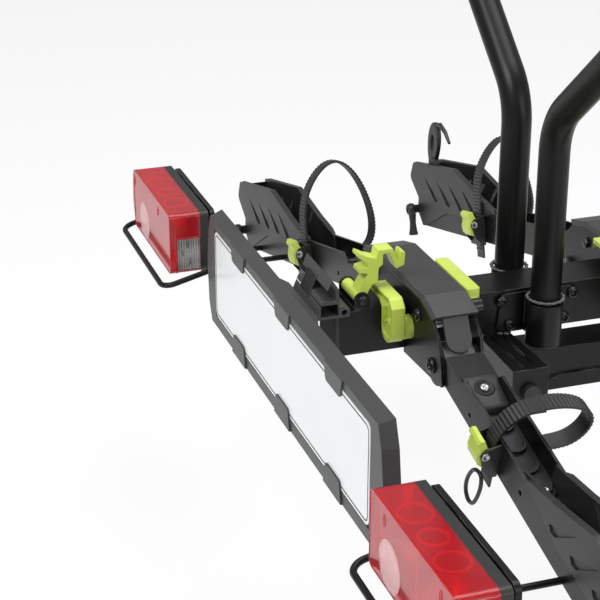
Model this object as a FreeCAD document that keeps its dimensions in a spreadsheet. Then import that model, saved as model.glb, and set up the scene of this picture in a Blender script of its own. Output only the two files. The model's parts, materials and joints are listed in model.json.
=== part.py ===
import FreeCAD, Part
import math
import os
import re
import Sketcher
from FreeCAD import Placement, Rotation, Vector

# Hitch bike rack for two bicycles, modelled in millimetres.
# The origin is the centre of the tow ball that carries it.
# +Y points forward to the car, +X to the right-hand side, +Z up.

doc = FreeCAD.newDocument("hitch_bike_rack")
sheet = doc.addObject("Spreadsheet::Sheet", "Sizes")
names = []
parts = []

WORD = re.compile(r"[a-z][a-z_]*[a-z]")
AXES = {"X": Vector(1, 0, 0), "Y": Vector(0, 1, 0), "Z": Vector(0, 0, 1)}
TURNS = {
    "X": Rotation(Vector(0, 1, 0), 90),
    "Y": Rotation(Vector(1, 0, 0), -90),
    "Z": Rotation(),
}


def size(name, value):
    """Write one driving dimension into the sheet."""
    row = str(len(names) + 1)
    sheet.set("A" + row, name)
    sheet.set("B" + row, str(value))
    sheet.setAlias("B" + row, name)
    names.append(name)


def value(name):
    """Read one driving dimension back from the sheet."""
    return float(sheet.get(name))


SIZES = {
    # Layout of the two wheel rows about the mast
    "mast_back": 197.5,
    "tray_spacing": 260,
    # Spine, the upper beam
    "spine_width": 50,
    "spine_height": 50,
    "spine_wall": 3,
    "spine_lift": 105,
    "spine_front": 38,
    "spine_length": 388,
    "cap_depth": 4,
    # Base beam, the lower beam on the tow ball
    "base_width": 44,
    "base_height": 50,
    "base_wall": 3,
    "base_lift": 25,
    "base_front": 50,
    "shoe_width": 50,
    "shoe_height": 18,
    "shoe_back": 152,
    "shoe_run": 33,
    # Tilt axle and the crossbeam that hangs on it
    "axle_back": 246,
    "axle_lift": 78.5,
    "axle_radius": 8,
    "running_fit": 0.05,
    "ear_radius": 22,
    "ear_width": 49.4,
    "cross_half": 118,
    "cross_inner_depth": 36,
    "cross_outer_depth": 42,
    "cross_height": 54,
    "cross_wall": 4,
    "cross_gap": 1.3,
    "groove_width": 3,
    "groove_depth": 1.2,
    "buffer_radius": 9.5,
    "buffer_length": 7,
    # Bracket plates that hold the wings, one pair in front and one behind
    "plate_thick": 3,
    "bracket_gap": 43,
    "plate_foot": 100,
    "plate_tip_x": 130,
    "plate_tip_z": 105,
    "plate_shoulder_x": 118,
    "plate_shoulder_z": 150,
    "plate_slope_x": 99,
    "plate_slope_z": 168,
    "plate_top_x": 66,
    "plate_top_z": 177,
    "bracket_bolt_x": 63,
    "bracket_bolt_z": 159,
    "bolt_radius": 4,
    "bolt_head_radius": 7,
    "bolt_head_height": 4,
    # Wing hinge
    "hinge_x": 102,
    "hinge_z": 118.6,
    "hinge_radius": 6,
    "hinge_head_radius": 8.5,
    "hinge_nut_length": 9,
    "droop": 14,
    "knuckle_radius": 22,
    # Plastic cover on each bracket
    "cover_thick": 5,
    "cover_bevel": 3.5,
    "tongue_width": 28,
    "tongue_thick": 2.5,
    # Wheel tray: the arm is a folded steel channel
    "tray_width": 42,
    "arm_wall": 3,
    "arm_bottom": 5,
    "box_start": 19,
    "box_top": 25,
    "box_end": 60,
    "rail_top": 35,
    "rail_start": 70,
    "rail_end": 215,
    "low_rail_top": 20,
    "low_rail_start": 290,
    "low_rail_end": 372,
    "arm_length": 450,
    "wall_hole_radius": 3,
    "wall_hole_first": 90,
    "wall_hole_second": 210,
    # Wheel tray: the plastic cup and bed
    "bed_start": 63,
    "clear_gap": 0.3,
    "bed_thick": 5,
    "bed_top": 12,
    "bed_block_top": 22,
    "cup_start": 203,
    "cup_length": 500,
    "cup_foot": 462,
    "cup_rise": 265,
    "cup_rise_top": 55,
    "cup_flat": 340,
    "cup_top": 84,
    "cup_tip": 484,
    "cup_wall_inner": 15,
    "cup_wall_outer": 22,
    "crescent_radius": 13.5,
    "crescent_wall": 2.5,
    "crescent_pitch": 30,
    "crescent_height": 4,
    "teardrop_pitch": 43,
    "teardrop_radius": 5.5,
    "teardrop_start": 296,
    "teardrop_lift": 46,
    "teardrop_run": 21,
    "teardrop_climb": 14,
    "teardrop_depth": 2,
    # Straps and ratchets
    "strap_width": 20,
    "strap_thick": 2.2,
    "rib_height": 0.9,
    "ratchet_width": 20,
    "ratchet_lever_width": 24,
    "ratchet_axis_out": 36.5,
    "ratchet_axis_up": 20,
    "ratchet_pin_radius": 2,
    "near_strap_station": 148,
    "far_strap_station": 201,
    "front_far_strap_station": 257,
    # Mast
    "mast_x": 46,
    "mast_radius": 16.5,
    "mast_wall": 2,
    "mast_foot": 98,
    "mast_bend_z": 348,
    "mast_bend_radius": 70,
    "mast_wide": 175,
    "mast_wide_z": 459,
    "mast_top": 790,
    "sleeve_radius": 19.5,
    "sleeve_height": 47,
    "flange_thick": 3,
    "flange_half": 48,
    "flange_low": 112,
    "flange_high": 148,
    "flange_bolt_spread": 42,
    "flange_bolt_low": 115,
    "flange_bolt_high": 143,
    # Number plate and its holder
    "holder_back": 480,
    "plate_length": 520,
    "plate_height": 110,
    "plate_metal": 1.2,
    "plate_centre_z": 95,
    "holder_half": 279,
    "holder_end_half": 290,
    "holder_low": 25,
    "holder_high": 161,
    "holder_depth": 16,
    "holder_wall": 3,
    "holder_taper": 18,
    "clip_reach": 9,
    "clip_width": 42,
    "clip_pitch": 161,
    "stiffener_height": 40,
    "stiffener_depth": 10,
    "stiffener_near": 71,
    "stiffener_far": 82,
    "mount_reach": 62,
    "mount_hole_radius": 3,
    "mount_length": 80,
    "mount_centre_x": 4,
    # Tilt lever and its safety catch
    "lever_x": 41,
    "lever_z": 137,
    "lever_back": 19.5,
    "lever_width": 15,
    "lever_foot_radius": 14,
    "lever_half": 14.5,
    "lever_top": 174,
    "lever_arm_thick": 11,
    "lever_inner_x": -4,
    "lever_recess": 6,
    "lever_shaft_radius": 6,
    "catch_back": 28.5,
    "catch_z": 166.5,
    "catch_radius": 7,
    "catch_half": 21.5,
    "catch_pin_radius": 3,
    "catch_ear_thick": 3,
    "catch_arm_width": 18,
    # Flat fold handles
    "handle_hub_x": 75,
    "handle_hub_z": 166,
    "handle_hub_radius": 8,
    "handle_shaft_radius": 5,
    "handle_length": 90,
    "handle_width": 15,
    "handle_thick": 11,
    "handle_top": 183,
    # Tail lamps
    "lamp_inner": 347,
    "lamp_length": 187,
    "lamp_low": 61,
    "lamp_height": 79,
    "lamp_face_back": 513,
    "lens_depth": 39,
    "housing_depth": 11,
    "window_depth": 30,
    "window_height": 42,
    "window_thick": 6,
    "lamp_plate_thick": 6,
    "lamp_plate_gap": 4,
    "guard_radius": 3.5,
    "guard_inset": 15,
    "guard_overhang": 18,
    "guard_back": 527,
    "guard_z": 52,
    "guard_bend": 16,
    "stay_inner": 402,
    "stay_outer": 500,
    "stay_drop": 8,
    # Coupling on the tow ball
    "ball_radius": 25,
    "ball_clearance": 0.3,
    "throat_depth": 18,
    "head_radius": 40,
    "head_top": 46,
    "head_neck": 62,
    "jaw_pivot_front": 33,
    "jaw_width": 26,
    "jaw_pivot_z": 14,
    "jaw_pin_radius": 4,
    "clamp_lever_z": 58,
    "clamp_lever_width": 26,
    "clamp_lever_length": 150,
    "clamp_lever_thick": 14,
    # Bicycle arms on the mast
    "arm_clamp_z": 640,
    "clamp_outer": 27,
    "clamp_height": 44,
    "bike_arm_radius": 12,
    "bike_arm_length": 96,
    "jaw_height": 30,
    "knob_radius": 20,
    "knob_length": 26,
}
for name, number in SIZES.items():
    size(name, number)
doc.recompute()


# Helpers: every one takes its sizes as expressions in the sheet's names


def bind(text):
    """Turn a plain expression into one that reads the sheet."""
    return WORD.sub(lambda found: "Sizes." + found.group(0)
                    if found.group(0) in names else found.group(0), text)


def drive(item, prop, text):
    item.setExpression(prop, bind(text))


def move(item, x="0", y="0", z="0"):
    drive(item, "Placement.Base.x", x)
    drive(item, "Placement.Base.y", y)
    drive(item, "Placement.Base.z", z)
    return item


def box(name, x, y, z):
    """A block from (start, length) pairs along X, Y and Z."""
    item = doc.addObject("Part::Box", name)
    drive(item, "Length", x[1])
    drive(item, "Width", y[1])
    drive(item, "Height", z[1])
    return move(item, x[0], y[0], z[0])


def rod(name, axis, radius, length, x="0", y="0", z="0"):
    """A cylinder that starts at a point and runs along +X, +Y or +Z."""
    item = doc.addObject("Part::Cylinder", name)
    drive(item, "Radius", radius)
    drive(item, "Height", length)
    item.Placement = Placement(Vector(), TURNS[axis])
    return move(item, x, y, z)


def ball(name, radius, x="0", y="0", z="0"):
    item = doc.addObject("Part::Sphere", name)
    drive(item, "Radius", radius)
    return move(item, x, y, z)


def join(name, *items):
    item = doc.addObject("Part::MultiFuse", name)
    item.Shapes = list(items)
    return item


def cut(name, base, *tools):
    item = doc.addObject("Part::Cut", name)
    item.Base = base
    item.Tool = tools[0] if len(tools) == 1 else join(name + "_tools", *tools)
    return item


def mirror(name, source, axis):
    """A mirror image across the middle of the rack, or across the mast."""
    item = doc.addObject("Part::Mirroring", name)
    item.Source = source
    item.Normal = AXES[axis]
    if axis == "Y":
        drive(item, "Base.y", "-mast_back")
    return item


def part(item):
    """Register one finished sub-part: its name is the node's name."""
    parts.append(item)
    return item


def origin_plane(body, plane):
    role = plane + "_Plane"
    return [item for item in body.Origin.OriginFeatures if item.Role == role][0]


def new_sketch(body, name, plane):
    sketch = body.newObject("Sketcher::SketchObject", name)
    sketch.AttachmentSupport = [(origin_plane(body, plane), "")]
    sketch.MapMode = "FlatFace"
    return sketch


def pin_point(sketch, index, where, u, v):
    for kind, text in (("DistanceX", u), ("DistanceY", v)):
        number = sketch.addConstraint(Sketcher.Constraint(kind, -1, 1, index, where, 1.0))
        drive(sketch, "Constraints[%d]" % number, text)


def trace(sketch, points):
    """Draw a closed outline whose corners are bound to the sheet."""
    count = len(points)
    start = sketch.GeometryCount
    ring = []
    for step in range(count):
        angle = 2 * math.pi * step / count
        ring.append(Vector(100 * math.cos(angle), 100 * math.sin(angle), 0))
    for step in range(count):
        sketch.addGeometry(Part.LineSegment(ring[step], ring[(step + 1) % count]), False)
    for step in range(count):
        follower = start + (step + 1) % count
        sketch.addConstraint(Sketcher.Constraint("Coincident", start + step, 2, follower, 1))
    for step, (u, v) in enumerate(points):
        pin_point(sketch, start + step, 1, u, v)


def circle(sketch, u, v, radius):
    index = sketch.addGeometry(Part.Circle(Vector(1, 1, 0), Vector(0, 0, 1), 2), False)
    pin_point(sketch, index, 3, u, v)
    number = sketch.addConstraint(Sketcher.Constraint("Radius", index, 2.0))
    drive(sketch, "Constraints[%d]" % number, radius)


def in_plane(point, plane):
    """The two sketch coordinates of a point of the body."""
    if plane == "XZ":
        return (point.x, point.z)
    if plane == "YZ":
        return (point.y, point.z)
    return (point.x, point.y)


def corner_edges(shape, plane, spots):
    """Names of the edges that stand square on the sketch at these spots."""
    found = []
    for number, edge in enumerate(shape.Edges):
        if len(edge.Vertexes) != 2:
            continue
        first = in_plane(edge.Vertexes[0].Point, plane)
        last = in_plane(edge.Vertexes[1].Point, plane)
        if math.dist(first, last) > 0.01:
            continue
        if any(math.dist(first, spot) < 0.01 for spot in spots):
            found.append("Edge%d" % (number + 1))
    return found


def soften(body, name, radius, chosen, kind="Fillet"):
    """Round or bevel the chosen edges of a body's last feature."""
    tip = body.Tip
    feature = body.newObject("PartDesign::" + kind, name)
    feature.Base = (tip, chosen)
    drive(feature, "Radius" if kind == "Fillet" else "Size", radius)
    doc.recompute()
    return body


def slab(name, plane, points, depth, centre=("0", "0", "0"), holes=(), rounds=()):
    """A plate cut to an outline, with round holes and rounded corners."""
    body = doc.addObject("PartDesign::Body", name)
    sketch = new_sketch(body, name + "_outline", plane)
    trace(sketch, points)
    for hole in holes:
        circle(sketch, *hole)
    pad = body.newObject("PartDesign::Pad", name + "_pad")
    pad.Profile = sketch
    pad.Midplane = True
    drive(pad, "Length", depth)
    doc.recompute()
    for number, (indexes, radius) in enumerate(rounds):
        spots = []
        for index in indexes:
            corner = sketch.Geometry[index].StartPoint
            spots.append((corner.x, corner.y))
        edges = corner_edges(body.Tip.Shape, plane, spots)
        soften(body, "%s_round_%d" % (name, number), radius, edges)
    return move(body, *centre)


def both_sides(points):
    """An outline given for +X, completed with its mirror image."""
    other = [("-(%s)" % u, v) for u, v in reversed(points)]
    return list(points) + other


def bent_path(points, radius):
    """A wire of straight runs joined by tangent arcs."""
    edges = []
    start = points[0]
    for index in range(1, len(points) - 1):
        corner = points[index]
        back = (points[index - 1] - corner).normalize()
        ahead = (points[index + 1] - corner).normalize()
        half = back.getAngle(ahead) / 2
        trim = radius / math.tan(half)
        enter = corner + back * trim
        leave = corner + ahead * trim
        bisector = (back + ahead).normalize()
        middle = corner + bisector * (radius / math.sin(half) - radius)
        edges.append(Part.LineSegment(start, enter).toShape())
        edges.append(Part.Arc(enter, middle, leave).toShape())
        start = leave
    edges.append(Part.LineSegment(start, points[-1]).toShape())
    return Part.Wire(edges)


def pipe(points, bend, radius):
    """A round bar or tube skin along a bent path."""
    path = bent_path(points, bend)
    heading = (points[1] - points[0]).normalize()
    ring = Part.Wire([Part.Circle(points[0], heading, radius).toShape()])
    return path.makePipeShell([ring], True, False)


def made(name, shape):
    item = doc.addObject("Part::Feature", name)
    item.Shape = shape
    return item


# Places that several pieces share
TRAY_Y = {"rear": "(-mast_back - tray_spacing / 2)", "front": "(-mast_back + tray_spacing / 2)"}
REAR_FACE = "(-mast_back - tray_spacing / 2 - bracket_gap / 2 - plate_thick)"
INNER_FACE = "(-mast_back - tray_spacing / 2 + bracket_gap / 2 + plate_thick)"
LEVER_Y = "(%s - lever_back)" % REAR_FACE
CATCH_Y = "(%s - catch_back)" % LEVER_Y
SPINE_TOP = "(spine_lift + spine_height)"
SPINE_REAR = "(-spine_front - spine_length)"


# Base beam, coupling and tilt axle


def make_base_beam():
    """Lower square tube with a thicker shoe below and round ears behind."""
    length = "axle_back - base_front"
    tube = box("base_tube", ("-base_width / 2", "base_width"), ("-axle_back", length),
               ("base_lift", "base_height"))
    shoe = slab("base_shoe", "YZ", [
        ("-shoe_back - shoe_run", "base_lift"),
        ("-base_front", "base_lift"),
        ("-base_front", "base_lift + shoe_height"),
        ("-shoe_back", "base_lift + shoe_height"),
        ("-shoe_back - shoe_run / 3", "base_lift + shoe_height * 0.95"),
        ("-shoe_back - shoe_run * 0.8", "base_lift + shoe_height * 0.7"),
    ], "shoe_width")
    ear = rod("base_ear", "X", "ear_radius", "ear_width", "-ear_width / 2", "-axle_back",
              "axle_lift")
    web = box("base_web", ("-ear_width / 2", "ear_width"),
              ("-axle_back - ear_radius", "2 * ear_radius"),
              ("base_lift", "axle_lift - base_lift"))
    solid = join("base_solid", tube, shoe, ear, web)
    hollow = box("base_hollow", ("-base_width / 2 + base_wall", "base_width - 2 * base_wall"),
                 ("-axle_back + ear_radius", length),
                 ("base_lift + base_wall", "base_height - 2 * base_wall"))
    bore = rod("base_bore", "X", "axle_radius + running_fit", "2 * cross_half",
               "-cross_half", "-axle_back", "axle_lift")
    part(cut("base_beam", solid, hollow, bore))


def make_coupling():
    """Cast head that sits on the ball, its jaw and the clamping lever."""
    head = rod("head_cylinder", "Z", "head_radius", "throat_depth + head_top", z="-throat_depth")
    neck = box("head_neck_block", ("-base_width / 2", "base_width"), ("-base_front", "base_front"),
               ("base_lift - 5", "head_neck - base_lift + 5"))
    plug = box("head_plug", ("-base_width / 2 + base_wall + clear_gap",
                             "base_width - 2 * (base_wall + clear_gap)"),
               ("-base_front - 60", "62"),
               ("base_lift + base_wall + clear_gap", "base_height - 2 * (base_wall + clear_gap)"))
    ears = box("head_ears", ("-clamp_lever_width / 2 - 8", "clamp_lever_width + 16"),
               ("-12", "24"), ("head_top - throat_depth", "clamp_lever_z - head_top + throat_depth"))
    crown = rod("head_crown", "X", "12", "clamp_lever_width + 16",
                "-clamp_lever_width / 2 - 8", "0", "clamp_lever_z")
    solid = join("head_solid", head, neck, plug, ears, crown)
    throat = rod("head_throat", "Z", "ball_radius + ball_clearance", "throat_depth",
                 z="-throat_depth")
    dome = ball("head_dome", "ball_radius + ball_clearance")
    slot = box("head_slot", ("-jaw_width / 2 - clear_gap", "jaw_width + 2 * clear_gap"),
               ("5", "head_radius"), ("-throat_depth", "44"))
    lever_slot = box("head_lever_slot", ("-clamp_lever_width / 2 - 0.5", "clamp_lever_width + 1"),
                     ("-30", "60"), ("clamp_lever_z - 15", "60"))
    jaw_bore = rod("head_jaw_bore", "X", "jaw_pin_radius", "80", "-40",
                   "jaw_pivot_front", "jaw_pivot_z")
    lever_bore = rod("head_lever_bore", "X", "jaw_pin_radius", "80", "-40", "0", "clamp_lever_z")
    part(cut("coupling_head", solid, throat, dome, slot, lever_slot, jaw_bore, lever_bore))

    shoe = slab("jaw_shoe", "YZ", [
        ("jaw_pivot_front - 6", "-throat_depth + 2"),
        ("jaw_pivot_front + 7", "-throat_depth + 2"),
        ("jaw_pivot_front + 7", "jaw_pivot_z - 8"),
        ("jaw_pivot_front + 6", "jaw_pivot_z + 6"),
        ("jaw_pivot_front - 2", "jaw_pivot_z + 8"),
        ("jaw_pivot_front - 6", "jaw_pivot_z"),
    ], "jaw_width", rounds=(((1, 3), "4"),))
    reach = ball("jaw_reach", "ball_radius + ball_clearance + 0.4")
    pin_hole = rod("jaw_pin_hole", "X", "jaw_pin_radius + running_fit", "60", "-30",
                   "jaw_pivot_front", "jaw_pivot_z")
    part(cut("coupling_jaw", shoe, reach, pin_hole))

    jaw_pin = rod("jaw_pin", "X", "jaw_pin_radius", "74", "-37", "jaw_pivot_front",
                  "jaw_pivot_z")
    keep = rod("jaw_pin_limit", "Z", "head_radius", "60", z="-throat_depth")
    trimmed = doc.addObject("Part::Common", "jaw_pin_trimmed")
    trimmed.Base = jaw_pin
    trimmed.Tool = keep
    lever_pin = rod("clamp_pin", "X", "jaw_pin_radius", "clamp_lever_width + 16",
                    "-clamp_lever_width / 2 - 8", "0", "clamp_lever_z")
    part(join("coupling_pins", trimmed, lever_pin))

    lever = slab("clamp_blade", "YZ", [
        ("-10", "clamp_lever_z - 10"),
        ("10", "clamp_lever_z - 10"),
        ("clamp_lever_thick / 2 + 3", "clamp_lever_z + 20"),
        ("clamp_lever_thick / 2 + 8", "clamp_lever_z + clamp_lever_length"),
        ("-clamp_lever_thick / 2 + 8", "clamp_lever_z + clamp_lever_length"),
        ("-clamp_lever_thick / 2", "clamp_lever_z + 20"),
    ], "clamp_lever_width", holes=(("0", "clamp_lever_z", "jaw_pin_radius + running_fit"),),
        rounds=(((0, 1), "9"), ((3, 4), "6")))
    part(lever)
    lever.Label = "coupling_lever"


def make_crossbeam():
    """Cast housing under the spine: it turns on the tilt axle."""
    outline = both_sides([
        ("ear_width / 2 + cross_gap", "-axle_back + cross_inner_depth / 2"),
        ("cross_half", "-axle_back + cross_outer_depth / 2"),
        ("cross_half", "-axle_back - cross_outer_depth / 2"),
        ("ear_width / 2 + cross_gap", "-axle_back - cross_inner_depth / 2"),
    ])
    block = slab("cross_block", "XY", outline, "cross_height",
                 ("0", "0", "spine_lift - cross_height / 2"))
    gap = box("cross_gap_cut", ("-ear_width / 2 - cross_gap", "ear_width + 2 * cross_gap"),
              ("-axle_back - 60", "120"),
              ("spine_lift - cross_height", "cross_height - cross_wall"))
    tools = [gap]
    for side, start in (("near", "ear_width / 2 + cross_gap + cross_wall"),
                        ("far", "-cross_half + cross_wall")):
        tools.append(box("cross_hollow_" + side,
                         (start, "cross_half - ear_width / 2 - cross_gap - 2 * cross_wall"),
                         ("-axle_back - cross_inner_depth / 2 + cross_wall",
                          "cross_inner_depth - 2 * cross_wall"),
                         ("spine_lift - cross_height", "cross_height - cross_wall")))
    for number in range(2):
        tools.append(box("cross_groove_%d" % number, ("-cross_half + 8", "2 * cross_half - 16"),
                         ("-axle_back - groove_width / 2 + %d" % (-7 + 14 * number),
                          "groove_width"),
                         ("spine_lift - groove_depth", "groove_depth")))
    tools.append(rod("cross_bore", "X", "axle_radius", "2 * cross_half", "-cross_half",
                     "-axle_back", "axle_lift"))
    part(cut("crossbeam", block, *tools))
    part(rod("tilt_axle", "X", "axle_radius", "2 * cross_half", "-cross_half", "-axle_back",
             "axle_lift"))
    near = rod("near_buffer", "X", "buffer_radius", "buffer_length", "cross_half", "-axle_back",
               "axle_lift")
    far = rod("far_buffer", "X", "buffer_radius", "buffer_length",
              "-cross_half - buffer_length", "-axle_back", "axle_lift")
    return near, far


# Spine and brackets


def make_spine(buffers):
    outer = box("spine_outer", ("-spine_width / 2", "spine_width"), (SPINE_REAR, "spine_length"),
                ("spine_lift", "spine_height"))
    inner = box("spine_inner", ("-spine_width / 2 + spine_wall", "spine_width - 2 * spine_wall"),
                (SPINE_REAR, "spine_length"),
                ("spine_lift + spine_wall", "spine_height - 2 * spine_wall"))
    part(cut("spine_beam", outer, inner))
    caps = list(buffers)
    for name, start, plug in (("spine_rear_cap", SPINE_REAR + " - cap_depth", SPINE_REAR),
                              ("spine_front_cap", "-spine_front", "-spine_front - 12")):
        lid = slab(name + "_lid", "XZ", [
            ("-spine_width / 2", "spine_lift"), ("spine_width / 2", "spine_lift"),
            ("spine_width / 2", SPINE_TOP), ("-spine_width / 2", SPINE_TOP),
        ], "cap_depth", ("0", start + " + cap_depth / 2", "0"), rounds=(((0, 1, 2, 3), "3"),))
        inset = "spine_wall + clear_gap"
        stub = box(name + "_stub", ("-spine_width / 2 + " + inset,
                                    "spine_width - 2 * (%s)" % inset), (plug, "12"),
                   ("spine_lift + " + inset, "spine_height - 2 * (%s)" % inset))
        caps.append(join(name, lid, stub))
    part(join("end_caps", *caps))


def plate_outline():
    """Half outline of a bracket plate, from the spine's foot outward."""
    return [
        ("spine_width / 2", "plate_foot"),
        ("hinge_x + 7", "plate_foot + 4"),
        ("plate_tip_x", "plate_tip_z"),
        ("plate_shoulder_x", "plate_shoulder_z"),
        ("plate_slope_x", "plate_slope_z"),
        ("plate_top_x", "plate_top_z"),
    ]


def make_bracket():
    """Two plates across the spine; the wings are hinged between them."""
    half = plate_outline()
    outline = both_sides(half)
    outline.append(("-spine_width / 2", SPINE_TOP))
    outline.append(("spine_width / 2", SPINE_TOP))
    holes = []
    for sign in ("", "-"):
        holes.append((sign + "hinge_x", "hinge_z", "hinge_radius"))
        holes.append((sign + "bracket_bolt_x", "bracket_bolt_z", "bolt_radius"))
    holes.append(("lever_x", "lever_z", "lever_shaft_radius + running_fit"))
    handle_hole = ("handle_hub_x", "handle_hub_z", "handle_shaft_radius + running_fit")
    plates = []
    for number, offset in enumerate(("-bracket_gap / 2 - plate_thick / 2",
                                     "bracket_gap / 2 + plate_thick / 2")):
        plates.append(slab("bracket_plate_%d" % number, "XZ", outline, "plate_thick",
                           ("0", TRAY_Y["rear"] + " + " + offset, "0"),
                           holes + [handle_hole] * number,
                           rounds=(((2, 9), "3"),)))
    rear = part(join("rear_bracket_plates", *plates))
    part(mirror("front_bracket_plates", rear, "Y"))


def make_covers():
    """Plastic cover over the plates, with a tongue over each hinge tube."""
    outer = [
        ("plate_slope_x + 1", "plate_slope_z + 0.2"),
        ("plate_slope_x + cover_thick", "plate_slope_z + cover_thick"),
        ("plate_top_x + cover_thick / 2", "plate_top_z + cover_thick + 1"),
    ]
    inner = [("-plate_slope_x", "plate_slope_z + 0.2"), ("-plate_top_x", "plate_top_z + 0.2"),
             ("plate_top_x", "plate_top_z + 0.2"), ("plate_slope_x", "plate_slope_z + 0.2")]
    outline = both_sides(outer) + inner
    shell = slab("cover_shell", "XZ", outline, "bracket_gap + 2 * plate_thick + 1",
                 ("0", TRAY_Y["rear"], "0"))
    back = -(value("bracket_gap") / 2 + value("plate_thick") + 0.5)
    chosen = []
    for number, edge in enumerate(shell.Tip.Shape.Edges):
        ends = [vertex.Point for vertex in edge.Vertexes]
        if all(abs(end.y - back) < 0.01 for end in ends):
            if max(end.z for end in ends) > value("plate_top_z") + 0.5:
                chosen.append("Edge%d" % (number + 1))
    soften(shell, "cover_bevel_cut", "cover_bevel", chosen, "Chamfer")
    pieces = [shell]
    low = value("hinge_z") + value("knuckle_radius") + 1
    for sign, side in (("", "near"), ("-", "far")):
        tongue = slab("cover_tongue_" + side, "XZ", [
            (sign + "(plate_slope_x)", "plate_slope_z + 0.2"),
            (sign + "(plate_slope_x + tongue_thick)", "plate_slope_z + 1.8"),
            (sign + "(hinge_x + 0.7 * knuckle_radius + tongue_thick - 0.3)",
             "hinge_z + 0.81 * knuckle_radius + 1.3"),
            (sign + "(hinge_x + 0.7 * knuckle_radius)", "hinge_z + 0.81 * knuckle_radius"),
        ], "tongue_width", ("0", TRAY_Y["rear"], "0"))
        corners = []
        for number, edge in enumerate(tongue.Tip.Shape.Edges):
            ends = [vertex.Point for vertex in edge.Vertexes]
            if abs(ends[0].y - ends[-1].y) < 0.01 and max(end.z for end in ends) < low:
                corners.append("Edge%d" % (number + 1))
        soften(tongue, "cover_tongue_round_" + side, "tongue_width / 2 - 0.5", corners)
        pieces.append(tongue)
    rear = part(join("rear_cover", *pieces))
    part(mirror("front_cover", rear, "Y"))


def make_bolts():
    """Fasteners that hold the plates, the wings and the mast."""
    items = []
    for side, sign in (("near", ""), ("far", "-")):
        x = sign + "bracket_bolt_x"
        shank = rod("bracket_shank_" + side, "Y", "bolt_radius",
                    "bracket_gap + 2 * plate_thick", x, REAR_FACE, "bracket_bolt_z")
        items.append(shank)
        items.append(rod("bracket_head_" + side, "Y", "bolt_head_radius", "bolt_head_height", x,
                         REAR_FACE + " - bolt_head_height", "bracket_bolt_z"))
        items.append(rod("bracket_nut_" + side, "Y", "bolt_head_radius", "bolt_head_height / 2", x,
                         INNER_FACE, "bracket_bolt_z"))
    rear = join("bracket_bolts_rear", *items)
    front = mirror("bracket_bolts_front", rear, "Y")
    part(join("frame_bolts", rear, front, *make_mast_bolts()))

    items = []
    for side, sign in (("near", ""), ("far", "-")):
        x = sign + "hinge_x"
        items.append(rod("hinge_shank_" + side, "Y", "hinge_radius",
                         "bracket_gap + 2 * plate_thick", x, REAR_FACE, "hinge_z"))
        items.append(rod("hinge_head_" + side, "Y", "hinge_head_radius", "bolt_head_height", x,
                         REAR_FACE + " - bolt_head_height", "hinge_z"))
        items.append(rod("hinge_nut_" + side, "Y", "hinge_radius + 1.5", "hinge_nut_length", x,
                         INNER_FACE, "hinge_z"))
    rear = join("hinge_bolts_rear", *items)
    front = mirror("hinge_bolts_front", rear, "Y")
    part(join("hinge_bolts", rear, front))


# Wings


def seat_wing(item, row):
    """Put a piece that was made along X on its hinge, drooping outward."""
    item.Placement = Placement(Vector(), Rotation(Vector(0, 1, 0), 1))
    drive(item, "Placement.Rotation.Angle", "droop")
    return move(item, "hinge_x", TRAY_Y[row], "hinge_z")


def make_arm(name, row):
    """Hinge tube, short box and open channel of one wing."""
    sheet_metal = slab(name + "_channel", "XZ", [
        ("0", "-arm_bottom"),
        ("arm_length", "-arm_bottom"),
        ("low_rail_end", "low_rail_top"),
        ("low_rail_start", "low_rail_top"),
        ("rail_end", "rail_top"),
        ("rail_start", "rail_top"),
        ("box_end", "box_top"),
        ("box_start", "box_top"),
        ("box_start", "arm_bottom"),
        ("0", "arm_bottom"),
    ], "tray_width", rounds=(((3, 4, 5), "6"),))
    tube = rod(name + "_tube", "Y", "knuckle_radius", "tray_width", "0", "-tray_width / 2", "0")
    solid = join(name + "_solid", sheet_metal, tube)
    inner = "tray_width - 2 * arm_wall"
    box_hollow = box(name + "_box_hollow", ("knuckle_radius + arm_wall + 1", "box_end"),
                     ("-(%s) / 2" % inner, inner),
                     ("-arm_bottom + arm_wall", "box_top + arm_bottom - 2 * arm_wall"))
    channel = box(name + "_channel_hollow", ("box_end", "arm_length"),
                  ("-(%s) / 2" % inner, inner), ("-arm_bottom + arm_wall", "rail_top + 20"))
    bore = rod(name + "_bore", "Y", "hinge_radius + running_fit", "tray_width + 2", "0",
               "-tray_width / 2 - 1", "0")
    hole_inner = rod(name + "_hole_inner", "Y", "wall_hole_radius", "arm_wall + 2", "wall_hole_first",
                     "-tray_width / 2 - 1", "8")
    hole_outer = rod(name + "_hole_outer", "Y", "wall_hole_radius", "arm_wall + 2", "wall_hole_second",
                     "-tray_width / 2 - 1", "14")
    return seat_wing(cut(name, solid, box_hollow, channel, bore, hole_inner, hole_outer), row)


def cup_outline(grow):
    """Side view of the wheel cup above its foot."""
    return [
        ("cup_foot", "-arm_bottom"),
        ("cup_foot + 16", "15"),
        ("cup_foot + 10", "34"),
        ("cup_length", "62"),
        ("cup_tip", "cup_top"),
        ("cup_flat", "cup_top"),
        ("cup_rise", "cup_rise_top"),
        ("cup_start + 22", "rail_top + 7"),
        ("cup_start + %s" % grow, "rail_top + 0.5"),
    ]


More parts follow.
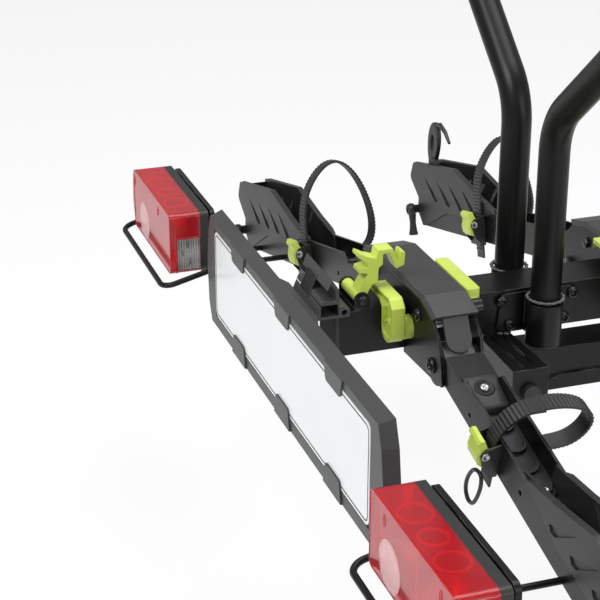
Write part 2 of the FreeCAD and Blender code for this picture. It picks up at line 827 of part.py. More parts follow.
def make_cup(name, row):
    """Plastic bed with tyre grips and the tall wheel cup at its end."""
    inner_half = "(tray_width / 2 - arm_wall - clear_gap)"
    floor = "(-arm_bottom + arm_wall + clear_gap)"
    wall_depth = "(cup_wall_outer - cup_wall_inner)"
    pieces = []
    pieces.append(slab(name + "_bed", "XZ", [
        ("bed_start", floor),
        ("arm_length", floor),
        ("arm_length", floor + " + bed_thick"),
        ("cup_rise", floor + " + bed_thick"),
        ("cup_start", "bed_top"),
        ("bed_start + 30", "bed_top"),
        ("bed_start + 14", "bed_block_top"),
        ("bed_start", "bed_block_top"),
    ], "2 * " + inner_half, rounds=(((4, 5), "12"), ((6, 7), "3"))))
    for sign, side in (("-", "back"), ("", "fore")):
        inner = [("cup_start", "bed_top - 3")]
        inner.append(("arm_length + 1", "-arm_bottom + arm_wall + clear_gap"))
        wall = slab("%s_%s_skirt" % (name, side), "XZ", inner + cup_outline("0"),
                    "cup_wall_outer - cup_wall_inner - 4.2",
                    ("0", sign + "(%s - 1.4)" % inner_half, "0"))
        pieces.append(wall)
        outer = [
            ("cup_start + 12", "rail_top + 0.5"),
            ("rail_end + 0.5", "rail_top + 0.5"),
            ("low_rail_start", "low_rail_top + 0.5"),
            ("low_rail_end + 0.6", "low_rail_top + 0.5"),
            ("arm_length + 1", "-arm_bottom"),
        ]
        wall = slab("%s_%s_wall" % (name, side), "XZ", outer + cup_outline("12")[:-1],
                    "cup_wall_outer - %s + 0.1" % inner_half,
                    ("0", sign + "(cup_wall_outer + %s - 0.1) / 2" % inner_half, "0"),
                    rounds=(((8, 9), "8"), ((10,), "30")))
        pieces.append(wall)
    pieces.append(slab(name + "_end", "XZ", [
        ("cup_foot - 12", "-arm_bottom"),
        ("cup_foot", "-arm_bottom"),
        ("cup_foot + 16", "15"),
        ("cup_foot + 10", "34"),
        ("cup_length - 4", "62"),
        ("cup_tip", "cup_top - 4"),
        ("cup_tip - 4", "cup_top - 4"),
        ("cup_length - 10", "62"),
        ("cup_foot + 5", "35"),
        ("cup_foot + 10", "15"),
        ("cup_foot - 2", "0"),
        ("cup_foot - 12", "0"),
    ], "2 * cup_wall_inner + 4"))
    for number in range(6):
        centre = "bed_start + 52 + crescent_pitch * %d" % number
        foot = "bed_top - 11"
        ring = rod("%s_ring_%d" % (name, number), "Z", "crescent_radius", "crescent_height + 11",
                   centre, "0", foot)
        core = rod("%s_core_%d" % (name, number), "Z", "crescent_radius - crescent_wall",
                   "crescent_height + 12", centre, "0", foot)
        trim = box("%s_trim_%d" % (name, number), (centre + " - 30", "30"), ("-20", "40"),
                   (foot, "crescent_height + 12"))
        pieces.append(cut("%s_crescent_%d" % (name, number), ring, core, trim))
    solid = join(name + "_solid", *pieces)
    tools = []
    for number in range(4):
        centre = "(teardrop_start + teardrop_pitch * %d)" % number
        lift = "(teardrop_lift + 2 * %d)" % number
        drop = slab("%s_drop_%d" % (name, number), "XZ", [
            (centre + " + teardrop_run", lift + " + teardrop_climb"),
            (centre + " - teardrop_run + teardrop_radius", lift + " - teardrop_climb + 5.5"),
            (centre + " - teardrop_run - teardrop_radius", lift + " - teardrop_climb"),
            (centre + " - teardrop_run", lift + " - teardrop_climb - 6"),
            (centre + " - teardrop_run + 9", lift + " - teardrop_climb - 4"),
        ], "teardrop_depth", ("0", "-cup_wall_outer + teardrop_depth / 2", "0"))
        tools.append(drop)
        slot = slab("%s_slot_%d" % (name, number), "XZ", [
            (centre + " - teardrop_run", lift + " + teardrop_climb"),
            (centre + " - teardrop_run + 10", lift + " + teardrop_climb"),
            (centre + " + teardrop_run", lift + " - teardrop_climb"),
            (centre + " + teardrop_run - 10", lift + " - teardrop_climb"),
        ], wall_depth + " + 6", ("0", "cup_wall_outer - %s / 2" % wall_depth, "0"),
            rounds=(((0, 1, 2, 3), "1.5"),))
        tools.append(slot)
    return seat_wing(cut(name, solid, *tools), row)


def make_wings():
    for row in ("rear", "front"):
        arm = part(make_arm(row + "_near_arm", row))
        part(mirror(row + "_far_arm", arm, "X"))
        cup = part(make_cup(row + "_near_tray", row))
        part(mirror(row + "_far_tray", cup, "X"))


def make_mast():
    """Hoop that rises from two sleeves bolted to the spine's sides."""
    x = value("mast_x")
    y = -value("mast_back")
    wide = value("mast_wide")
    top = value("mast_top")
    points = [
        Vector(-x, y, value("mast_foot")),
        Vector(-x, y, value("mast_bend_z")),
        Vector(-wide, y, value("mast_wide_z")),
        Vector(-wide, y, top),
        Vector(wide, y, top),
        Vector(wide, y, value("mast_wide_z")),
        Vector(x, y, value("mast_bend_z")),
        Vector(x, y, value("mast_foot")),
    ]
    bend = value("mast_bend_radius")
    skin = pipe(points, bend, value("mast_radius"))
    bore = pipe(points, bend, value("mast_radius") - value("mast_wall"))
    part(made("mast_hoop", skin.cut(bore)))

    sides = []
    for side, sign in (("near", 1), ("far", -1)):
        lead = "" if sign > 0 else "-"
        start = "spine_width / 2" if sign > 0 else "-spine_width / 2 - flange_thick"
        flange = slab("mast_flange_" + side, "YZ", [
            ("-flange_half", "flange_low - 4"), ("flange_half", "flange_low - 4"),
            ("flange_half - 5", "flange_high + 4"), ("-flange_half + 5", "flange_high + 4"),
        ], "flange_thick", (start + " + flange_thick / 2", "-mast_back", "0"),
            rounds=(((0, 1, 2, 3), "6"),))
        sleeve = rod("mast_sleeve_" + side, "Z", "sleeve_radius", "sleeve_height",
                     lead + "mast_x", "-mast_back", "mast_foot")
        web = box("mast_web_" + side,
                  (start, "mast_x - spine_width / 2 - mast_radius / 2") if sign > 0 else
                  ("-mast_x + mast_radius / 2", "mast_x - spine_width / 2 - mast_radius / 2"),
                  ("-mast_back - 15", "30"), ("mast_foot + 8", "sleeve_height - 8"))
        bead = doc.addObject("Part::Torus", "mast_bead_" + side)
        drive(bead, "Radius1", "sleeve_radius - 1.4")
        drive(bead, "Radius2", "1.4")
        move(bead, lead + "mast_x", "-mast_back", "mast_foot + sleeve_height")
        bore = rod("mast_sleeve_bore_" + side, "Z", "mast_radius", "sleeve_height + 40",
                   lead + "mast_x", "-mast_back", "mast_foot - 20")
        sides.append(cut("mast_bracket_" + side, join("mast_solid_" + side, flange, sleeve, web,
                                                      bead), bore))
    part(join("mast_brackets", *sides))


def make_mast_bolts():
    """Button-head bolts through the mast's flanges."""
    items = []
    for side, sign in (("near", 1), ("far", -1)):
        start = "spine_width / 2 + flange_thick"
        if sign < 0:
            start = "-(%s) - bolt_head_height" % start
        for number, (y, z) in enumerate((("-flange_bolt_spread", "flange_bolt_high"),
                                         ("-flange_bolt_spread + 10", "flange_bolt_low"),
                                         ("flange_bolt_spread", "flange_bolt_high"),
                                         ("flange_bolt_spread - 9", "flange_bolt_low"))):
            items.append(rod("mast_bolt_%s_%d" % (side, number), "X", "bolt_head_radius",
                             "bolt_head_height", start, "-mast_back + " + y, z))
    return items


def make_bike_arm(side, sign):
    """Collar on the mast, arm, claw for the bicycle frame and its knob."""
    name = side + "_bike_arm"
    x = "mast_wide" if sign > 0 else "-mast_wide"
    back = sign > 0
    collar = rod(name + "_collar", "Z", "clamp_outer", "clamp_height", x, "-mast_back",
                 "arm_clamp_z - clamp_height / 2")
    start = "-mast_back - clamp_outer - bike_arm_length" if back else "-mast_back + 20"
    beam = rod(name + "_beam", "Y", "bike_arm_radius", "bike_arm_length + clamp_outer - 20", x,
               start, "arm_clamp_z")
    lead = "-" if back else "+"
    tip = "(-mast_back %s (clamp_outer + bike_arm_length))" % lead

    def out(distance):
        """A place that many millimetres beyond the end of the arm."""
        return "%s %s (%s)" % (tip, lead, distance)

    def up(distance):
        return "arm_clamp_z + (%s)" % distance

    block = slab(name + "_saddle", "YZ", [
        (out("-4"), up("-jaw_height")), (out("jaw_height"), up("-jaw_height")),
        (out("jaw_height"), up("-12")), (out("16"), up("6")), (out("-4"), up("6")),
    ], "32", (x, "0", "0"))
    groove = rod(name + "_groove", "X", "jaw_height / 2 + 3", "40", x + " - 20",
                 out("jaw_height + 8"), up("-4"))
    bore = rod(name + "_bore", "Z", "mast_radius + running_fit", "clamp_height + 2", x,
               "-mast_back", "arm_clamp_z - clamp_height / 2 - 1")
    lugs = [slab("%s_lug_%d" % (name, number), "YZ", [
        (out("0"), up("0")), (out("13"), up("0")), (out("13"), up("20")), (out("0"), up("20")),
    ], "2.6", (x + " + %s" % shift, "0", "0")) for number, shift in enumerate(("-14.7", "14.7"))]
    pin = rod(name + "_pin", "X", "4", "32", x + " - 16", out("6.5"), up("13.5"))
    solid = cut(name + "_body", join(name + "_solid", collar, beam, block), groove, bore)
    part(join(name, solid, pin, *lugs))

    claw = slab(side + "_bike_claw", "YZ", [
        (out("1.5"), up("11")), (out("1.5"), up("19")), (out("12"), up("24")),
        (out("34"), up("24")), (out("50"), up("10")), (out("54"), up("-18")),
        (out("47"), up("-20")), (out("42"), up("6")), (out("31"), up("15")),
        (out("13"), up("10")), (out("4"), up("8")),
    ], "26", (x, "0", "0"), holes=((out("6.5"), up("13.5"), "4 + running_fit"),))
    part(claw)

    reach = "clamp_outer" if sign > 0 else "-clamp_outer - knob_length"
    knob = rod(side + "_bike_knob", "X", "knob_radius", "knob_length", x + " + " + reach
               if sign > 0 else x + reach, "-mast_back", "arm_clamp_z")
    part(knob)


def make_plate_holder():
    """Tray-shaped plastic holder with clips, and the bare number plate."""
    body = doc.addObject("PartDesign::Body", "holder_body")
    sketch = new_sketch(body, "holder_outline", "XZ")
    trace(sketch, both_sides([
        ("holder_half", "holder_low"),
        ("holder_end_half", "holder_low + 22"),
        ("holder_end_half + 5", "holder_low + 72"),
        ("holder_end_half - 2", "holder_high - 22"),
        ("holder_half", "holder_high"),
    ]))
    pad = body.newObject("PartDesign::Pad", "holder_pad")
    pad.Profile = sketch
    pad.Reversed = True
    drive(pad, "Length", "holder_depth")
    drive(pad, "TaperAngle", "holder_taper")
    move(body, "0", "-holder_back", "0")
    recess = box("holder_recess", ("-plate_length / 2 - 1", "plate_length + 2"),
                 ("-holder_back", "plate_metal + 0.1"),
                 ("plate_centre_z - plate_height / 2 - 1", "plate_height + 2"))
    hollow = box("holder_hollow", ("-holder_half + holder_wall", "2 * holder_half - 2 * holder_wall"),
                 ("-holder_back + plate_metal + holder_wall", "holder_depth"),
                 ("holder_low + holder_wall", "holder_high - holder_low - 2 * holder_wall"))
    shell = cut("holder_shell", body, recess, hollow)
    back = "-holder_back + plate_metal + 0.1"
    stiffener = slab("holder_stiffener", "XY", [
        ("-stiffener_far", back), ("stiffener_near", back),
        ("stiffener_near", "-holder_back + holder_depth"),
        ("stiffener_near - 35", "-holder_back + holder_depth + stiffener_depth"),
        ("-stiffener_far + 25", "-holder_back + holder_depth + stiffener_depth"),
        ("-stiffener_far", "-holder_back + holder_depth"),
    ], "stiffener_height", ("0", "0", "holder_high - stiffener_height / 2"))
    pieces = [shell, stiffener]
    for number in range(3):
        centre = "clip_pitch * %d" % (number - 1)
        for edge, low in (("top", "plate_centre_z + plate_height / 2 - clip_reach"),
                          ("low", "holder_low")):
            high = "holder_high" if edge == "top" else "plate_centre_z - plate_height / 2 + clip_reach"
            base, tip = (high, low) if edge == "top" else (low, high)
            clip = slab("holder_clip_%s_%d" % (edge, number), "XZ", [
                (centre + " - clip_width / 2 - 5", base), (centre + " + clip_width / 2 + 5", base),
                (centre + " + clip_width / 2", tip), (centre + " - clip_width / 2", tip),
            ], "2", ("0", "-holder_back - 1", "0"), rounds=(((2, 3), "5"),))
            pieces.append(clip)
    part(join("plate_holder", *pieces))
    plate = slab("number_plate", "XZ", [
        ("-plate_length / 2", "-plate_height / 2"), ("plate_length / 2", "-plate_height / 2"),
        ("plate_length / 2", "plate_height / 2"), ("-plate_length / 2", "plate_height / 2"),
    ], "plate_metal", ("0", "-holder_back + plate_metal / 2", "plate_centre_z"),
        rounds=(((0, 1, 2, 3), "10"),))
    part(plate)

    def at(inward, rise):
        """A place behind the plate's face and above the spine."""
        return ("-holder_back + %s" % inward, SPINE_TOP + " + %s" % rise)

    behind = "holder_depth + stiffener_depth + 0.1"
    rib = slab("holder_mount", "YZ", [
        at(behind, "0.1"), at("mount_reach", "0.1"), at("mount_reach", "9"),
        at("mount_reach - 12", "13"), at("mount_reach - 12", "32"), at("mount_reach - 20", "44"),
        ("-holder_back + " + behind, "holder_high"),
    ], "mount_length", ("-mount_centre_x", "0", "0"),
        holes=(at("mount_reach - 6", "5.5") + ("mount_hole_radius",),))
    triangle = slab("holder_mount_triangle", "YZ", [
        at("30", "21"), at("46", "21"), at("46", "32"), at("41", "38"),
    ], "mount_length + 2", ("-mount_centre_x", "0", "0"))
    channel = slab("holder_mount_channel", "YZ", [
        at("30", "3"), at("50", "3"), at("48", "16"), at("30", "16"),
    ], "mount_length + 2", ("-mount_centre_x", "0", "0"))
    part(cut("plate_mount", rib, triangle, channel))


def make_tilt_lever():
    """Green cranked lever, its shaft through the plates, and the catch."""
    low = "lever_z - lever_foot_radius"
    top_low = "lever_top - lever_arm_thick"
    outline = [
        ("-lever_half", low), ("lever_half", low),
        ("lever_half", "lever_top - 9"), ("lever_half - 9", "lever_top"),
        ("lever_inner_x - lever_x", "lever_top"), ("lever_inner_x - lever_x", top_low),
        ("-lever_half - 7", top_low), ("-lever_half", "lever_top - 17"),
    ]
    blade = slab("lever_blade", "XZ", outline, "lever_width", ("lever_x", LEVER_Y, "0"),
                 rounds=(((0, 1), "lever_foot_radius"), ((3,), "6"), ((4, 5), "2.5")))
    dish = slab("lever_dish", "XZ", [
        ("-lever_half + 3", low + " + 6"), ("lever_half - 3", low + " + 6"),
        ("lever_half - 3", "lever_top - 11"), ("lever_half - 10", "lever_top - 3"),
        ("lever_inner_x - lever_x + 3", "lever_top - 3"),
        ("lever_inner_x - lever_x + 3", top_low + " + 3"),
        ("-lever_half - 5", top_low + " + 3"), ("-lever_half + 3", "lever_top - 16"),
    ], "lever_recess", ("lever_x", LEVER_Y + " - lever_width / 2 + lever_recess / 2", "0"),
        rounds=(((0, 1), "8"),))
    hub = rod("lever_hub", "Y", "lever_foot_radius - 1", "4", "lever_x", "0", "lever_z")
    drive(hub, "Height", "lever_back - lever_width / 2 - 0.3")
    move(hub, "lever_x", LEVER_Y + " + lever_width / 2", "lever_z")
    eye = rod("lever_eye", "Y", "lever_foot_radius - 3", "lever_recess", "lever_x",
              LEVER_Y + " - lever_width / 2 + 1", "lever_z")
    dimple = rod("lever_dimple", "Y", "lever_foot_radius - 6", "3", "lever_x",
                 LEVER_Y + " - lever_width / 2 - 1", "lever_z")
    bore = rod("lever_bore_cut", "Y", "lever_shaft_radius", "60", "lever_x",
               LEVER_Y + " + 2", "lever_z")
    part(cut("tilt_lever", join("lever_solid", cut("lever_hollow", blade, dish), hub, eye),
             dimple, bore))
    part(rod("tilt_lever_shaft", "Y", "lever_shaft_radius", INNER_FACE + " + 2 - " + LEVER_Y,
             "lever_x", LEVER_Y + " + 2", "lever_z"))

    # Safety catch: a barrel on a pin, an arm with two lips and a finger tab
    barrel = rod("catch_barrel", "X", "catch_radius", "2 * catch_half", "-catch_half",
                 CATCH_Y, "catch_z")
    profile = slab("catch_profile", "YZ", [
        ("-5", "2"), ("5", "-2"), ("13", "13"), ("19.6", "15"), ("20.5", "31"), ("25", "35"),
        ("25", "46"),
        ("32", "47"), ("40", "28"), ("49", "31"), ("50", "45"), ("46", "46"), ("44", "36"),
        ("42", "36"), ("36", "51"), ("20", "51"), ("18", "42"), ("8", "45"), ("-2", "50"),
        ("-3", "46"), ("6", "38"), ("8", "34"), ("-1", "32"), ("-2", "28"), ("8", "26"),
    ], "catch_arm_width", ("catch_arm_width / 2", CATCH_Y, "catch_z"))
    hole = rod("catch_hole", "X", "catch_pin_radius + running_fit", "60", "-30", CATCH_Y,
               "catch_z")
    part(cut("safety_catch", join("catch_solid", barrel, profile), hole))
    ears = [box("catch_base", ("-spine_width / 2", "spine_width"), (CATCH_Y + " - 8", "16"),
                (SPINE_TOP, "2"))]
    for side, start in (("near", "catch_half + 0.3"), ("far", "-catch_half - 0.3 - catch_ear_thick")):
        ears.append(rod("catch_ear_" + side, "X", "catch_radius + 1.5", "catch_ear_thick", start,
                        CATCH_Y, "catch_z"))
        ears.append(box("catch_leg_" + side, (start, "catch_ear_thick"),
                        (CATCH_Y + " - catch_radius - 1.5", "2 * catch_radius + 3"),
                        (SPINE_TOP, "catch_z - spine_lift - spine_height")))
    ear_hole = rod("catch_ear_hole", "X", "catch_pin_radius", "60", "-30", CATCH_Y, "catch_z")
    bracket = cut("catch_bracket", join("catch_ears_solid", *ears), ear_hole)
    span = "2 * (catch_half + 0.3 + catch_ear_thick)"
    pin = rod("catch_pin_shank", "X", "catch_pin_radius", span,
              "-catch_half - 0.3 - catch_ear_thick", CATCH_Y, "catch_z")
    near_head = rod("catch_pin_head", "X", "catch_radius - 2", "2",
                    "catch_half + 0.3 + catch_ear_thick", CATCH_Y, "catch_z")
    far_head = rod("catch_pin_nut", "X", "catch_radius - 2", "2",
                   "-catch_half - 2.3 - catch_ear_thick", CATCH_Y, "catch_z")
    part(join("catch_ears", bracket, pin, near_head, far_head))


def make_fold_handles():
    """Flat handles that free the wings, each on a shaft with a hub."""
    grip = slab("handle_grip", "XY", [
        ("handle_hub_x - 5 - handle_length", "-handle_width / 2"),
        ("handle_hub_x - 5", "-handle_width / 2"),
        ("handle_hub_x - 5", "handle_width / 2"),
        ("handle_hub_x - 5 - handle_length", "handle_width / 2"),
    ], "handle_thick", ("0", INNER_FACE + " + 2.5 + handle_width / 2",
                        "handle_top - handle_thick / 2"), rounds=(((0, 1, 2, 3), "4"),))
    hollow = slab("handle_hollow", "XY", [
        ("handle_hub_x - 2 - handle_length", "-handle_width / 2 + 3"),
        ("handle_hub_x - 22", "-handle_width / 2 + 3"),
        ("handle_hub_x - 22", "handle_width / 2 + 4"),
        ("handle_hub_x - 2 - handle_length", "handle_width / 2 + 4"),
    ], "handle_thick - 5", ("0", INNER_FACE + " + 2.5 + handle_width / 2",
                            "handle_top - handle_thick + (handle_thick - 5) / 2"))
    stem = box("handle_stem", ("handle_hub_x - 14", "11"), (INNER_FACE + " + 2.5", "handle_width - 4"),
               ("handle_hub_z + 2", "handle_top - handle_thick - handle_hub_z"))
    seat = rod("handle_seat", "Y", "handle_hub_radius", "60", "handle_hub_x", INNER_FACE,
               "handle_hub_z")
    rear = part(cut("rear_fold_handle",
                    join("handle_solid", cut("handle_shell", grip, hollow), stem), seat))
    part(mirror("front_fold_handle", rear, "Y"))
    length = "bracket_gap + plate_thick + 3"
    shaft = rod("handle_shaft", "Y", "handle_shaft_radius", length, "handle_hub_x",
                REAR_FACE + " + plate_thick + 1", "handle_hub_z")
    cam = rod("handle_cam", "Y", "handle_hub_radius", "bracket_gap - 2", "handle_hub_x",
              REAR_FACE + " + plate_thick + 1", "handle_hub_z")
    hub = rod("handle_hub", "Y", "handle_hub_radius", "handle_width - 2", "handle_hub_x",
              INNER_FACE + " + 2.5", "handle_hub_z")
    rear = part(join("rear_fold_shaft", shaft, cam, hub))
    part(mirror("front_fold_shaft", rear, "Y"))


def make_lamp():
    """Tail lamp of the near rear wing and the steel frame that carries it."""
    back = "-lamp_face_back"
    lens = slab("lamp_lens_block", "XZ", [
        ("0", "0"), ("lamp_length", "0"), ("lamp_length", "lamp_height"), ("0", "lamp_height"),
    ], "lens_depth", ("lamp_inner", back + " + lens_depth / 2", "lamp_low"),
        rounds=(((0, 1, 2, 3), "7"),))
    notch = box("lamp_window_notch", ("lamp_inner - 1", "window_thick + 1"),
                (back + " + lens_depth - window_depth", "window_depth"),
                ("lamp_low + 4", "window_height"))
    hollow = box("lamp_lens_hollow", ("lamp_inner + window_thick + 2",
                                      "lamp_length - window_thick - 5"),
                 (back + " + 3", "lens_depth"), ("lamp_low + 3", "lamp_height - 6"))
    near = part(cut("near_lamp_lens", lens, notch, hollow))
    part(mirror("far_lamp_lens", near, "X"))
    housing = slab("lamp_housing_block", "XZ", [
        ("0", "0"), ("lamp_length", "0"), ("lamp_length", "lamp_height"), ("0", "lamp_height"),
    ], "housing_depth", ("lamp_inner", back + " + lens_depth + housing_depth / 2", "lamp_low"),
        rounds=(((0, 1, 2, 3), "7"),))
    near = part(housing)
    housing.Label = "near_lamp_housing"
    part(mirror("far_lamp_housing", near, "X"))

    face = "(-lamp_face_back + lens_depth + housing_depth + lamp_plate_gap)"
    plate = slab("lamp_plate", "XZ", [
        ("6", "4"), ("lamp_length - 6", "4"), ("lamp_length - 6", "lamp_height - 2"),
        ("6", "lamp_height - 2"),
    ], "lamp_plate_thick", ("lamp_inner", face + " + lamp_plate_thick / 2", "lamp_low"),
        rounds=(((0, 1, 2, 3), "9"),))
    pieces = [plate]
    for number, x in enumerate(("lamp_inner + 40", "lamp_inner + lamp_length - 40")):
        pieces.append(rod("lamp_spacer_%d" % number, "Y", "8", "lamp_plate_gap", x,
                          face + " - lamp_plate_gap", "lamp_low + lamp_height / 2"))
    inner = value("lamp_inner") - value("guard_inset")
    outer = value("lamp_inner") + value("lamp_length") + value("guard_overhang")
    pieces.append(made("lamp_guard", pipe([
        Vector(inner, lamp_plate_y() - 1, value("lamp_low") + 10),
        Vector(inner, -value("guard_back"), value("guard_z")),
        Vector(outer, -value("guard_back"), value("guard_z")),
        Vector(outer, lamp_plate_y() - 1, value("lamp_low") + 10),
    ], value("guard_bend"), value("guard_radius"))))
    for side, start, length in (
        ("inner", "lamp_inner - guard_inset - 4", "guard_inset + 14"),
        ("outer", "lamp_inner + lamp_length - 14", "guard_overhang + 18"),
    ):
        pieces.append(box("lamp_ear_" + side, (start, length), (face, "lamp_plate_thick"),
                          ("lamp_low + 6", "14")))
    wall = "(-mast_back - tray_spacing / 2 - tray_width / 2)"
    for side, x in (("inner", "stay_inner"), ("outer", "stay_outer")):
        drop = "((%s - hinge_x) * tan(droop) - hinge_z)" % x
        z = "(-%s - stay_drop + 7)" % drop
        foot = box("lamp_foot_" + side, (x + " - 7", "14"), (face, "lamp_plate_thick"),
                   (z + " - 5", "lamp_low + 8 - %s + 5" % z))
        stay = rod("lamp_stay_" + side, "Y", "guard_radius", "4", x, face + " + 1", z)
        drive(stay, "Height", "%s - %s - 1" % (wall, face))
        pieces.extend((foot, stay))
    near = part(join("near_lamp_frame", *pieces))
    part(mirror("far_lamp_frame", near, "X"))


def lamp_plate_y():
    """Front-to-back place of the lamp's steel back plate."""
    total = value("lens_depth") + value("housing_depth") + value("lamp_plate_gap")
    return -value("lamp_face_back") + total + value("lamp_plate_thick")


def strap_line(x, peak, bulge):
    """Centre line of a strap over the tray, from its tail to its anchor."""
    wall = value("cup_wall_outer") + 1.6
    return [
        Vector(x, -wall, -26), Vector(x, -wall, 4), Vector(x, -wall, 34),
        Vector(x, -wall + 6, peak * 0.72), Vector(x, wall * 0.75, peak),
        Vector(x, wall + bulge, peak * 0.62), Vector(x, wall + bulge * 0.6, 14),
        Vector(x, wall, 6), Vector(x, wall, -4),
    ]


def make_strap(name, row, station, peak, bulge):
    """Ribbed rubber strap: a flat band with small teeth on its outside."""
    curve = Part.BSplineCurve()
    width = value("strap_width")
    points = strap_line(value(station) - width / 2, peak, bulge)
    places = [0.0]
    for first, last in zip(points, points[1:]):
        places.append(places[-1] + (last - first).Length)
    curve.interpolate(Points=points, Parameters=places, InitialTangent=Vector(0, 0, 1),
                      FinalTangent=Vector(0, 0, -1))
    length = curve.length()
    steps = int(length / 2.2)
    half = value("strap_thick") / 2
    rib = value("rib_height")
    outer = []
    inner = []
    for step in range(steps + 1):
        where = curve.parameterAtDistance(length * step / steps)
        point = curve.value(where)
        run = curve.tangent(where)[0]
        side = Vector(0, -run.z, run.y)
        tooth = rib if step % 2 and 4 < step < steps - 4 else 0
        outer.append(point + side * (half + tooth))
        inner.append(point - side * half)
    outline = outer + inner[::-1]
    outline.append(outline[0])
    face = Part.Face(Part.makePolygon(outline))
    return seat_wing(made(name, face.extrude(Vector(width, 0, 0))), row)


def make_ratchet(name, row, station):
    """Black ratchet body on the tray's wall; returns it and its lever."""
    wall = "(cup_wall_outer + 0.1)"
    if station != "front_far_strap_station":
        wall = "(tray_width / 2)"
    width = "(ratchet_lever_width / 2 + 0.4)"
    pieces = []
    base = box(name + "_base", (station + " - ratchet_width / 2", "ratchet_width"),
               ("-ratchet_axis_out + 6", "ratchet_axis_out - 6 - cup_wall_outer - 4"),
               ("-8", "10"))
    pieces.append(base)
    for side, start in (("inner", station + " - %s - 2.5" % width), ("outer", station + " + " + width)):
        pieces.append(slab("%s_cheek_%s" % (name, side), "YZ", [
            ("-%s" % wall, "-8"), ("-%s" % wall, "32"), ("-ratchet_axis_out - 1", "27"),
            ("-ratchet_axis_out - 5", "20"), ("-ratchet_axis_out", "2"), ("-28", "-8"),
        ], "2.5", (start + " + 1.25", "0", "0")))
    pieces.append(box(name + "_bridge", (station + " - %s - 2.5" % width, "2 * %s + 5" % width),
                      ("-ratchet_axis_out + 6", "ratchet_axis_out - 6 - cup_wall_outer - 4"),
                      ("-8", "6")))
    pin = rod(name + "_pin", "X", "ratchet_pin_radius", "2 * %s + 5" % width,
              station + " - %s - 2.5" % width, "-ratchet_axis_out", "ratchet_axis_up")
    pieces.append(pin)
    body = seat_wing(join(name, *pieces), row)
    return body


def make_ratchet_lever(name, row, station):
    points = [
        (-8.5, 13), (-6, 17.5), (-1.5, 17), (1, 11), (4.5, 5), (4.5, -3), (2, -8), (3.5, -12),
        (-1, -15), (-6, -11), (-7.5, -2), (-5.5, 7),
    ]
    lever = slab(name + "_blade", "YZ", [
        ("-ratchet_axis_out + %s" % y, "ratchet_axis_up + %s" % z) for y, z in points
    ], "ratchet_lever_width", (station, "0", "0"),
        holes=(("-ratchet_axis_out", "ratchet_axis_up", "ratchet_pin_radius + running_fit"),))
    lever.Label = name
    return lever


def make_strap_sets():
    stations = {
        "rear_near": ("near_strap_station", 64, 51),
        "rear_far": ("far_strap_station", 128, 36),
        "front_near": ("far_strap_station", 128, 36),
        "front_far": ("front_far_strap_station", 128, 20),
    }
    for place, (station, peak, bulge) in stations.items():
        row, side = place.split("_")
        for kind in ("strap", "ratchet", "ratchet_lever"):
            name = "%s_%s" % (place, kind)
            made_name = name if side == "near" else name + "_pattern"
            if kind == "strap":
                item = make_strap(made_name, row, station, peak, bulge)
            elif kind == "ratchet":
                item = make_ratchet(made_name, row, station)
            else:
                item = make_ratchet_lever(made_name, row, station)
                seat_wing(item, row)
                shift = "%s * %s(droop)"
                drive(item, "Placement.Base.x", "hinge_x + " + shift % (station, "cos"))
                drive(item, "Placement.Base.z", "hinge_z - " + shift % (station, "sin"))
            part(item if side == "near" else mirror(name, item, "X"))


make_base_beam()
make_coupling()
make_spine(make_crossbeam())
make_bracket()
make_covers()
make_bolts()
make_wings()
make_strap_sets()
make_mast()
make_bike_arm("near", 1)
make_bike_arm("far", -1)
make_plate_holder()
make_tilt_lever()
make_fold_handles()
make_lamp()
doc.recompute()


def check_and_write():
    for item in doc.Objects:
        if "Invalid" in item.State or "Error" in item.State:
            raise RuntimeError("failed: %s %s" % (item.Name, item.State))
    os.makedirs("parts", exist_ok=True)
    for item in parts:
        shape = item.Shape
        if shape.isNull() or not shape.isValid():
            raise RuntimeError("bad shape: " + item.Label)
        if not shape.Solids:
            raise RuntimeError("no solid: " + item.Label)
        shape.exportStep("parts/%s.step" % item.Label)
        print("%-26s solids %d volume %10.0f" % (item.Label, len(shape.Solids), shape.Volume))


check_and_write()
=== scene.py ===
import json
import math
import random

import bmesh
import bpy
from mathutils import Matrix, Vector


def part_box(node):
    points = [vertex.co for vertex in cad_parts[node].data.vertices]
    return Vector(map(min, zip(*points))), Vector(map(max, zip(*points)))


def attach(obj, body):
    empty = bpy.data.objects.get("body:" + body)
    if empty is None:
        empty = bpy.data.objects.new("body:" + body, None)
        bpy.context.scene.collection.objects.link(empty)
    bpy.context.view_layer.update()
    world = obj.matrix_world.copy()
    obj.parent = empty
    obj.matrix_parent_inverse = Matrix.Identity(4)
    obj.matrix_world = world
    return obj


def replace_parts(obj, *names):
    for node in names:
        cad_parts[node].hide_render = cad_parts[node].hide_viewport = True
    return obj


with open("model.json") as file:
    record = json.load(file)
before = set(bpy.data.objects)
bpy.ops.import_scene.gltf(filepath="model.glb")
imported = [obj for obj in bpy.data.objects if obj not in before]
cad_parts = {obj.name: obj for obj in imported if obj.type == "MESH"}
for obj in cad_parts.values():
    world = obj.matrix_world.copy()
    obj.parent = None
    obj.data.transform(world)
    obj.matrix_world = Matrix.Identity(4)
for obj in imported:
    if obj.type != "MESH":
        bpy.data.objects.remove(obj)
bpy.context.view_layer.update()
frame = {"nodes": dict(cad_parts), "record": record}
scene = bpy.context.scene
NODES = frame["nodes"]
MM = 0.001
SIDES = (("near", 1), ("far", -1))

